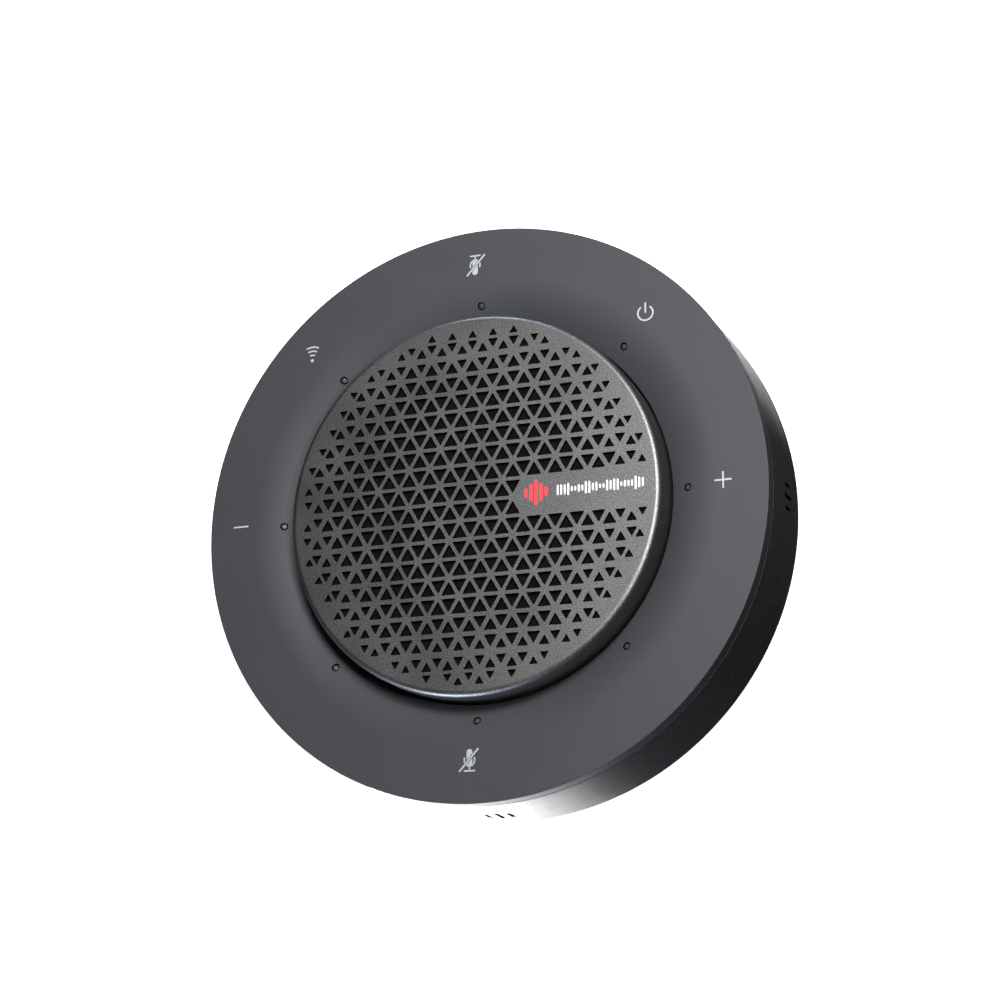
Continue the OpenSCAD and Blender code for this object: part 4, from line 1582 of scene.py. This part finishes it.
    def cut_inlet(self, maker: MeshMaker, section: Section) -> list[Window]:
        """Cuts the inlet's recess and its hole.

        Args:
            maker: The shell's mesh.
            section: Its section.

        Returns:
            The windows in the wall's two faces.
        """
        wide, high = self.usb_w + 2 * self.usb_rim, self.usb_h + 2 * self.usb_rim
        recess = stadium(wide, high, 14)
        mouth = stadium(wide + self.usb_mouth, high + self.usb_mouth, 14)
        hole = stadium(self.usb_w + 2 * self.usb_gap, self.usb_h + 2 * self.usb_gap, 14)
        wall = section.stretch("wall")
        face = self.on_wall(wall, mouth, self.usb_az, self.usb_z)
        edge = [(x * self.usb_sink, y * self.usb_sink, z)
                for x, y, z in self.on_wall(wall, recess, self.usb_az, self.usb_z)]
        floor = self.at_plane(recess, self.usb_az, self.usb_z, self.usb_face_r)
        throat = self.at_plane(hole, self.usb_az, self.usb_z, self.usb_face_r)
        back = self.on_wall(section.stretch("inside"), hole, self.usb_az, self.usb_z)
        maker.bridge(face, edge, floor, throat, back)
        reach = self.usb_h / 2 + self.usb_rim + 0.4
        return [section.window(name, Along.HEIGHT, self.usb_z, reach, self.usb_az, 7, [loop])
                for name, loop in (("wall", face), ("inside", back))]

    def cut_screw_columns(self, maker: MeshMaker, section: Section) -> list[Window]:
        """Cuts the sunk screw holes in the groove and raises their columns inside.

        Args:
            maker: The shell's mesh.
            section: Its section.

        Returns:
            The windows in the floor's two faces.
        """
        windows = []
        groove_z = self.low_z + self.foot_recess
        for i in range(self.case_screw_n):
            azimuth = i * FULL_TURN / self.case_screw_n
            spot = turned((self.case_screw_r, 0), azimuth)
            levels = ((self.head_r, groove_z), (self.head_r, self.head_seat_z),
                      (self.pass_r, self.head_seat_z), (self.pass_r, self.column_top),
                      (self.column_r, self.column_top), (self.column_r, self.floor_z))
            loops = tube(spot, levels)
            maker.bridge(*loops)
            windows.append(section.window("groove", Along.RADIUS, self.case_screw_r,
                                          self.head_r + 0.5, azimuth, 4, [loops[0]]))
            windows.append(section.window("inner_floor", Along.RADIUS, self.case_screw_r,
                                          self.column_r + 0.4, azimuth, 5, [loops[-1]]))
        return windows

    def raise_bosses(self, maker: MeshMaker, section: Section) -> list[Window]:
        """Raises the board's screw bosses, each with a blind pilot hole.

        Args:
            maker: The shell's mesh.
            section: Its section.

        Returns:
            The windows in the inner floor.
        """
        windows = []
        for azimuth in self.board_bosses:
            spot = turned((self.board_screw_r, 0), azimuth)
            levels = ((self.board_boss_r, self.floor_z), (self.board_boss_r, self.board_z),
                      (self.pilot_r, self.board_z), (self.pilot_r, self.floor_z))
            loops = tube(spot, levels, 24)
            maker.bridge(*loops)
            maker.face(loops[-1])
            windows.append(section.window("inner_floor", Along.RADIUS, self.board_screw_r,
                                          self.board_boss_r + 0.2, azimuth, 6, [loops[0]]))
        return windows

    def add_ribs(self, maker: MeshMaker) -> None:
        """Adds the upright ribs that hold the microphone boards."""
        for i in range(self.mic_n):
            for side in (-1, 1):
                near = side * (self.mic_w / 2 + self.rib_gap)
                low, high = sorted((near, near + side * self.rib_t))
                outline = [(self.rib_in_r, low), (self.rib_out_r, low), (self.rib_out_r, high),
                           (self.rib_in_r, high)]
                place = Matrix.Rotation(radians(i * FULL_TURN / self.mic_n), 4, "Z")
                maker.prism(outline, self.floor_z - self.overlap, self.mic_top, place)

    def build(self) -> bpy.types.Object:
        """Builds the lower shell."""
        maker = MeshMaker("textured_lower_shell")
        section = self.section()
        windows = [*self.cut_slots(maker, section), *self.cut_inlet(maker, section),
                   *self.cut_screw_columns(maker, section), *self.raise_bosses(maker, section)]
        maker.lathe(section.points, windows)
        self.add_ribs(maker)
        # The slots' walls take the painted shade.
        shell = maker.finish(SPARK_ABS.build(), HOLE_SHADE_BLACK.build())
        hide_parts("lower_shell")
        return shell

    def build_foot(self) -> bpy.types.Object:
        """Builds the rubber foot with soft edges and the groove in its sole."""
        maker = MeshMaker("rubber_foot")
        top, middle = top_of("foot_ring"), self.case_screw_r
        near, far = middle - self.sole_groove, middle + self.sole_groove
        corners = [(self.foot_in_r, 0, self.sole_edge), (near, 0, self.foot_edge),
                   (near, self.sole_depth, self.groove_edge), (far, self.sole_depth, self.groove_edge),
                   (far, 0, self.foot_edge), (self.foot_out_r, 0, self.sole_edge),
                   (self.foot_out_r, top, self.foot_edge), (self.foot_in_r, top, self.foot_edge)]
        maker.lathe(rounded(corners, 4, False))
        foot = maker.finish(SILICONE.build())
        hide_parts("foot_ring")
        return foot


# ---- USB-C inlet ----


@dataclass
class Inlet:
    """The USB-C receptacle: a drawn steel shell round a tongue with its contacts.

    Attributes:
        azimuth: Direction that it faces.
        width: Outside width.
        height: Outside height.
        wall: Shell thickness.
        length: Shell length.
        mouth_r: Distance of its mouth from the axis.
        middle_z: Height of its middle.
        lip: Chamfer round the mouth, outside.
        lead_in: Chamfer round the mouth, inside.
        tongue_w: Width of the tongue.
        tongue_t: Thickness of the tongue.
        tongue_l: Length of the tongue.
        tongue_edge: Round on its edges.
        tip_l: Length of its tapered tip.
        tip: Width and thickness of the tip's end, as shares of the tongue's.
        overlap: How far the tongue's root reaches into the block.
        plug_t: Depth of the block behind it.
        plug_gap: How much smaller that block is than the shell's inside.
        pin_n: Contacts on each side of the tongue.
        pin_pitch: Distance between them.
        pin_w: Half width of a contact.
        pin_from: Where the contacts start, from the block.
        pin_to: Where they end.
        pin_sink: How far a contact reaches into the tongue.
        pin_proud: How far it stands proud.
    """

    azimuth: float = 135.0
    width: float = 8.94
    height: float = 3.26
    wall: float = 0.3
    length: float = 7.35
    mouth_r: float = 58.25
    middle_z: float = 9.03
    lip: float = 0.1
    lead_in: float = 0.06
    tongue_w: float = 6.69
    tongue_t: float = 0.7
    tongue_l: float = 4.6
    tongue_edge: float = 0.12
    tip_l: float = 0.25
    tip: Point2 = (0.98, 0.72)
    overlap: float = 0.01
    plug_t: float = 1.6
    plug_gap: float = 0.1
    pin_n: int = 12
    pin_pitch: float = 0.5
    pin_w: float = 0.12
    pin_from: float = 0.2
    pin_to: float = 3.6
    pin_sink: float = 0.03
    pin_proud: float = 0.02

    def loop(self, outline: Outline, reach: float) -> Loop:
        """An outline at a distance from the axis, facing out."""
        return [(*turned((reach, across), self.azimuth), self.middle_z + up) for across, up in outline]

    def build(self) -> None:
        """Builds the shell, the tongue and its contacts."""
        back = self.mouth_r - self.length
        shell = MeshMaker("usb_c_steel_shell")
        inner_w, inner_h = self.width - 2 * self.wall, self.height - 2 * self.wall
        neck = self.mouth_r - self.lip
        outside = [self.loop(stadium(self.width - 2 * a, self.height - 2 * a, 14), r)
                   for a, r in ((0, back), (0, neck), (self.lip, self.mouth_r))]
        inside = [self.loop(stadium(inner_w + 2 * a, inner_h + 2 * a, 14), r)
                  for a, r in ((self.lead_in, self.mouth_r), (0, neck), (0, back))]
        shell.bridge(*outside, *inside, outside[0])
        steel = shell.finish(STAINLESS.build())
        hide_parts("usb_shell")
        tongue = MeshMaker("usb_c_tongue")
        plug = stadium(inner_w - self.plug_gap, inner_h - self.plug_gap, 14)
        tongue.stack([self.loop(plug, back), self.loop(plug, back + self.plug_t)])
        half_w, half_t = self.tongue_w / 2, self.tongue_t / 2
        ends = ((-half_w, -half_t), (half_w, -half_t), (half_w, half_t), (-half_w, half_t))
        blade = rounded([(x, y, self.tongue_edge) for x, y in ends], 4, False)
        tip = [(x * self.tip[0], y * self.tip[1]) for x, y in blade]
        reach = back + self.plug_t
        tongue.stack([self.loop(blade, reach - self.overlap),
                      self.loop(blade, reach + self.tongue_l - self.tip_l),
                      self.loop(tip, reach + self.tongue_l)])
        black = tongue.finish(MOULD_COMPOUND.build())
        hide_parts("usb_tongue")
        self.build_contacts(reach, half_t)

    def build_contacts(self, reach: float, half_t: float) -> None:
        """Lays the gold contacts on both sides of the tongue.

        Args:
            reach: Distance of the tongue's root from the axis.
            half_t: Half its thickness.
        """
        contacts = MeshMaker("usb_c_contacts")
        for side in (-1, 1):
            low, high = sorted((side * (half_t - self.pin_sink), side * (half_t + self.pin_proud)))
            for i in range(self.pin_n):
                across = (i - (self.pin_n - 1) / 2) * self.pin_pitch
                left, right = across - self.pin_w, across + self.pin_w
                outline = [(left, low), (right, low), (right, high), (left, high)]
                contacts.stack([self.loop(outline, reach + self.pin_from),
                                self.loop(outline, reach + self.pin_to)])
        contacts.finish(GOLD.build())


# ---- Loudspeaker suspension ----


@dataclass
class Suspension:
    """The surround and the spider, each in sectors round the axis.

    Attributes:
        sectors: Number of sectors in a ring.
        roll_in_r: Inner foot of the surround's roll.
        roll_out_r: Outer foot of it.
        land_in_r: Inner edge of the surround.
        land_out_r: Its outer edge.
        surround_t: Its thickness.
        spider_in_r: Inner edge of the spider.
        spider_out_r: Its outer edge.
        spider_t: Its thickness.
        spider_in_land: Width of its land at the coil.
        spider_out_land: Width of its land at the basket.
        waves: Waves between its lands.
        wave_h: Height of a wave.
        held_in: How far inside the roll's outer foot the surround's held radius lies.
        free_in: How far outside its inner edge the spider's free radius lies.
    """

    sectors: int = 16
    roll_in_r: float = 21.4
    roll_out_r: float = 25.2
    land_in_r: float = 19.6
    land_out_r: float = 27.4
    surround_t: float = 0.4
    spider_in_r: float = 9.93
    spider_out_r: float = 17.6
    spider_t: float = 0.35
    spider_in_land: float = 0.8
    spider_out_land: float = 1.4
    waves: int = 3
    wave_h: float = 0.55
    held_in: float = 0.3
    free_in: float = 1.2

    def surround_outline(self) -> Outline:
        """The surround in section: a half roll between two lands."""
        low = low_of("surround")
        high = low + self.surround_t
        mid, half = (self.roll_in_r + self.roll_out_r) / 2, (self.roll_out_r - self.roll_in_r) / 2
        return [(self.land_in_r, high), (self.land_in_r, low), (self.roll_in_r, low),
                *arc((mid, low), half - self.surround_t, 180, 0, 20), (self.land_out_r, low),
                (self.land_out_r, high), *arc((mid, low), half, 12, 168, 20)]

    def spider_outline(self) -> Outline:
        """The spider in section: waves between two lands."""
        wave_in = self.spider_in_r + self.spider_in_land
        wave_out = self.spider_out_r - self.spider_out_land
        low = (low_of("spider") + top_of("spider") - self.spider_t) / 2
        line = []
        for i in range(49):
            r = wave_in + (wave_out - wave_in) * i / 48
            turns = self.waves * (r - wave_in) / (wave_out - wave_in)
            line.append((r, low + self.wave_h * sin(2 * pi * turns) / 2))
        under = [(self.spider_in_r, low), *line, (self.spider_out_r, low)]
        return under + [(r, z + self.spider_t) for r, z in reversed(under)]

    def ring(self, node: str, outline: Outline, finish: Finish, slot: str, held_r: float,
             free_r: float) -> None:
        """Builds one ring in sectors.

        Args:
            node: The frame's node that it stands for.
            outline: Its section.
            finish: Its finish.
            slot: Not used.
            held_r: Not used.
            free_r: Not used.
        """
        span = FULL_TURN / self.sectors
        for k in range(self.sectors):
            maker = MeshMaker(f"{node}_sector_{k + 1:02d}")
            azimuths = [k * span + span * i / 8 for i in range(9)]
            maker.stack([[(*turned((r, 0), azimuth), z) for r, z in outline] for azimuth in azimuths])
            piece = maker.finish(finish.build(), body="")
            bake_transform(piece)
            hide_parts(node)

    def build(self) -> None:
        """Builds the surround and the spider."""
        self.ring("surround", self.surround_outline(), SILICONE, "rubber",
                  self.roll_out_r - self.held_in, self.roll_in_r)
        self.ring("spider", self.spider_outline(), RESIN_COTTON, "spider_cloth",
                  self.spider_out_r - self.spider_out_land, self.spider_in_r + self.free_in)


# ---- Parts of the frame that stay ----


class Insides:
    """Dresses the frame's own parts inside the case.

    Attributes:
        FINISHES: The finish of each node, or of each group of numbered nodes.
    """

    FINISHES: dict[str, Finish] = {name: finish for finish, names in (
        (MOULDED_PC_ABS, ("grille_frame", "mid_frame", "speaker_basket")),
        (SOLDER_MASK, ("led_board", "main_board", "mic_board")),
        (ZINC_STEEL, ("case_screws", "ring_screws", "speaker_screws", "board_screws", "top_plate",
                      "yoke")),
        (FOAM, ("chamber_seal", "speaker_gasket", "battery_pad")),
        (KAPTON, ("touch_film", "led_flex", "coil_former")),
        (PAPER_PULP, ("cone",)),
        (DRAWN_ALUMINIUM, ("dust_cap",)),
        (ENAMELLED_COPPER, ("coil_winding",)),
        (NICKEL, ("magnet",)),
        (MOULD_COMPOUND, ("processor", "amplifier")),
        (TIN_STEEL, ("radio_can", "microphone")),
        (NYLON, ("battery_header", "led_header")),
        (SHRINK_WRAP, ("battery_pack",)),
        (LEAD_SLEEVE, ("battery_lead", "speaker_lead")),
        (SILICONE, ("mic_boot",)),
    ) for name in names}

    def dress(self, nodes: dict[str, bpy.types.Object]) -> None:
        """Gives each shown node its finish.

        Args:
            nodes: The frame's nodes by name.
        """
        for name, node in nodes.items():
            if node.hide_render:
                continue
            finish = self.FINISHES[name if name in self.FINISHES else name.rsplit("_", 1)[0]]
            material = finish.build()
            if not node.material_slots:
                node.data.materials.append(material)
            for slot in node.material_slots:
                slot.material = material
            LOG.info("%s: %s", name, material.name)


# ---- Studio ----


@dataclass
class Softbox:
    """A round soft light that aims at the part.

    Attributes:
        name: Its name.
        azimuth: Direction from the part, in degrees.
        elevation: Height above the horizon, in degrees.
        distance: How far it stands, in metres.
        size: Its diameter, in metres.
        power: Its power, in watts.
        colour: sRGB hex of its light.
    """

    name: str
    azimuth: float
    elevation: float
    distance: float
    size: float
    power: float
    colour: str = "#FFFFFF"

    def build(self, target: Vector) -> None:
        """Sets the light up.

        Args:
            target: What it aims at.
        """
        data = bpy.data.lights.new(self.name, "AREA")
        data.shape, data.size, data.energy = "DISK", self.size, self.power
        data.color = linear(self.colour)[:3]
        lamp = bpy.data.objects.new(self.name, data)
        away = direction(self.azimuth, self.elevation)
        lamp.location = target + away * self.distance
        lamp.rotation_euler = away.to_track_quat("Z", "Y").to_euler()
        bpy.context.scene.collection.objects.link(lamp)


@dataclass
class Studio:
    """A pale floor, soft lights and the camera.

    Attributes:
        azimuth: Direction of the camera from the part, in degrees.
        elevation: Its height above the horizon, in degrees.
        distance: How far it stands from its target, in millimetres.
        roll: Turn of the frame about the line of sight, in degrees.
        target: Point that it looks at, in millimetres.
        lens: Focal length, in millimetres.
        sensor: Width of the sensor, in millimetres.
        clip: Nearest and furthest distance that it sees, in metres.
        floor_size: Side of the floor, in metres.
        floor_glow: Strength of the floor's own light.
        sky_glow: Strength of the surroundings' light.
        aim: Point that the lights aim at, in metres.
        lights: The soft lights. The two low ones give the wall its bright ends.
    """

    azimuth: float = -40.28
    elevation: float = 63.83
    distance: float = 430.4
    roll: float = -52.3
    target: Point3 = (4.86, 0.77, 25.0)
    lens: float = 78.1
    sensor: float = 36.0
    clip: tuple[float, float] = (0.01, 20.0)
    floor_size: float = 6.0
    floor_glow: float = 0.95
    sky_glow: float = 0.045
    aim: Point3 = (0.0, 0.0, 0.012)
    lights: tuple[Softbox, ...] = (
        Softbox("key_softbox", 43, 65, 0.36, 0.14, 1.6),
        Softbox("edge_softbox", -14, 56, 0.36, 0.05, 0.45),
        Softbox("cool_front_softbox", -116, 3, 0.5, 0.12, 2.4, "#DDE8FF"),
        Softbox("cool_back_softbox", 101, 17, 0.5, 0.16, 1.0, "#DDE8FF"),
        Softbox("low_left_softbox", -151, -62, 0.4, 0.24, 3.3),
        Softbox("low_right_softbox", 112, -62, 0.4, 0.24, 1.8),
    )

    def build_camera(self) -> None:
        """Sets the camera up."""
        data = bpy.data.cameras.new("studio_camera")
        data.lens, data.sensor_width = self.lens, self.sensor
        data.clip_start, data.clip_end = self.clip
        camera = bpy.data.objects.new("studio_camera", data)
        away = direction(self.azimuth, self.elevation)
        look = away.to_track_quat("Z", "Y").to_matrix().to_4x4()
        place = Matrix.Translation((Vector(self.target) + away * self.distance) * MM)
        camera.matrix_world = place @ look @ Matrix.Rotation(radians(self.roll), 4, "Z")
        bpy.context.scene.collection.objects.link(camera)
        bpy.context.scene.camera = camera

    def build_floor(self) -> None:
        """Lays the pale floor. The lights under it shine through it, as through a light table."""
        half = self.floor_size / 2
        mesh = bpy.data.meshes.new("studio_floor")
        corners = [(-half, -half, 0), (half, -half, 0), (half, half, 0), (-half, half, 0)]
        mesh.from_pydata(corners, [], [(0, 1, 2, 3)])
        floor = bpy.data.objects.new("studio_floor", mesh)
        bpy.context.scene.collection.objects.link(floor)
        material = bpy.data.materials.new("matt_white_acrylic")
        material.use_nodes = True
        shader = material.node_tree.nodes["Principled BSDF"]
        values = {"Base Color": linear("#F4F4F4"), "Roughness": 0.9, "Specular IOR Level": 0.1,
                  "Emission Color": linear("#FFFFFF"), "Emission Strength": self.floor_glow}
        for socket, value in values.items():
            shader.inputs[socket].default_value = value
        mesh.materials.append(material)
        floor.visible_diffuse = False
        floor.visible_glossy = False
        floor.visible_shadow = False

    def build_lights(self) -> None:
        """Sets up the lights and the faint white surroundings."""
        for light in self.lights:
            light.build(Vector(self.aim))
        world = bpy.data.worlds.new("studio_surroundings")
        world.use_nodes = True
        background = world.node_tree.nodes["Background"]
        background.inputs["Color"].default_value = linear("#FFFFFF")
        background.inputs["Strength"].default_value = self.sky_glow
        bpy.context.scene.world = world
        bpy.context.scene.view_settings.view_transform = "Standard"

    def build(self) -> None:
        """Builds the whole studio."""
        self.build_camera()
        self.build_floor()
        self.build_lights()
        LOG.info("studio: %d lights", len(self.lights))


def main() -> None:
    """Builds the studio and every sub-assembly in order."""
    logging.basicConfig(level=logging.INFO, format="%(message)s", stream=sys.stdout)
    Studio().build()
    ring = TouchRing()
    ring.build()
    ring.build_lenses()
    KeyPrint().build()
    grille = Grille()
    grille.build()
    grille.build_cloth()
    LevelMark().build()
    shell = LowerShell()
    shell.build()
    shell.build_foot()
    Inlet().build()
    Suspension().build()
    Insides().dress(frame["nodes"])


if __name__ == "__main__":
    main()
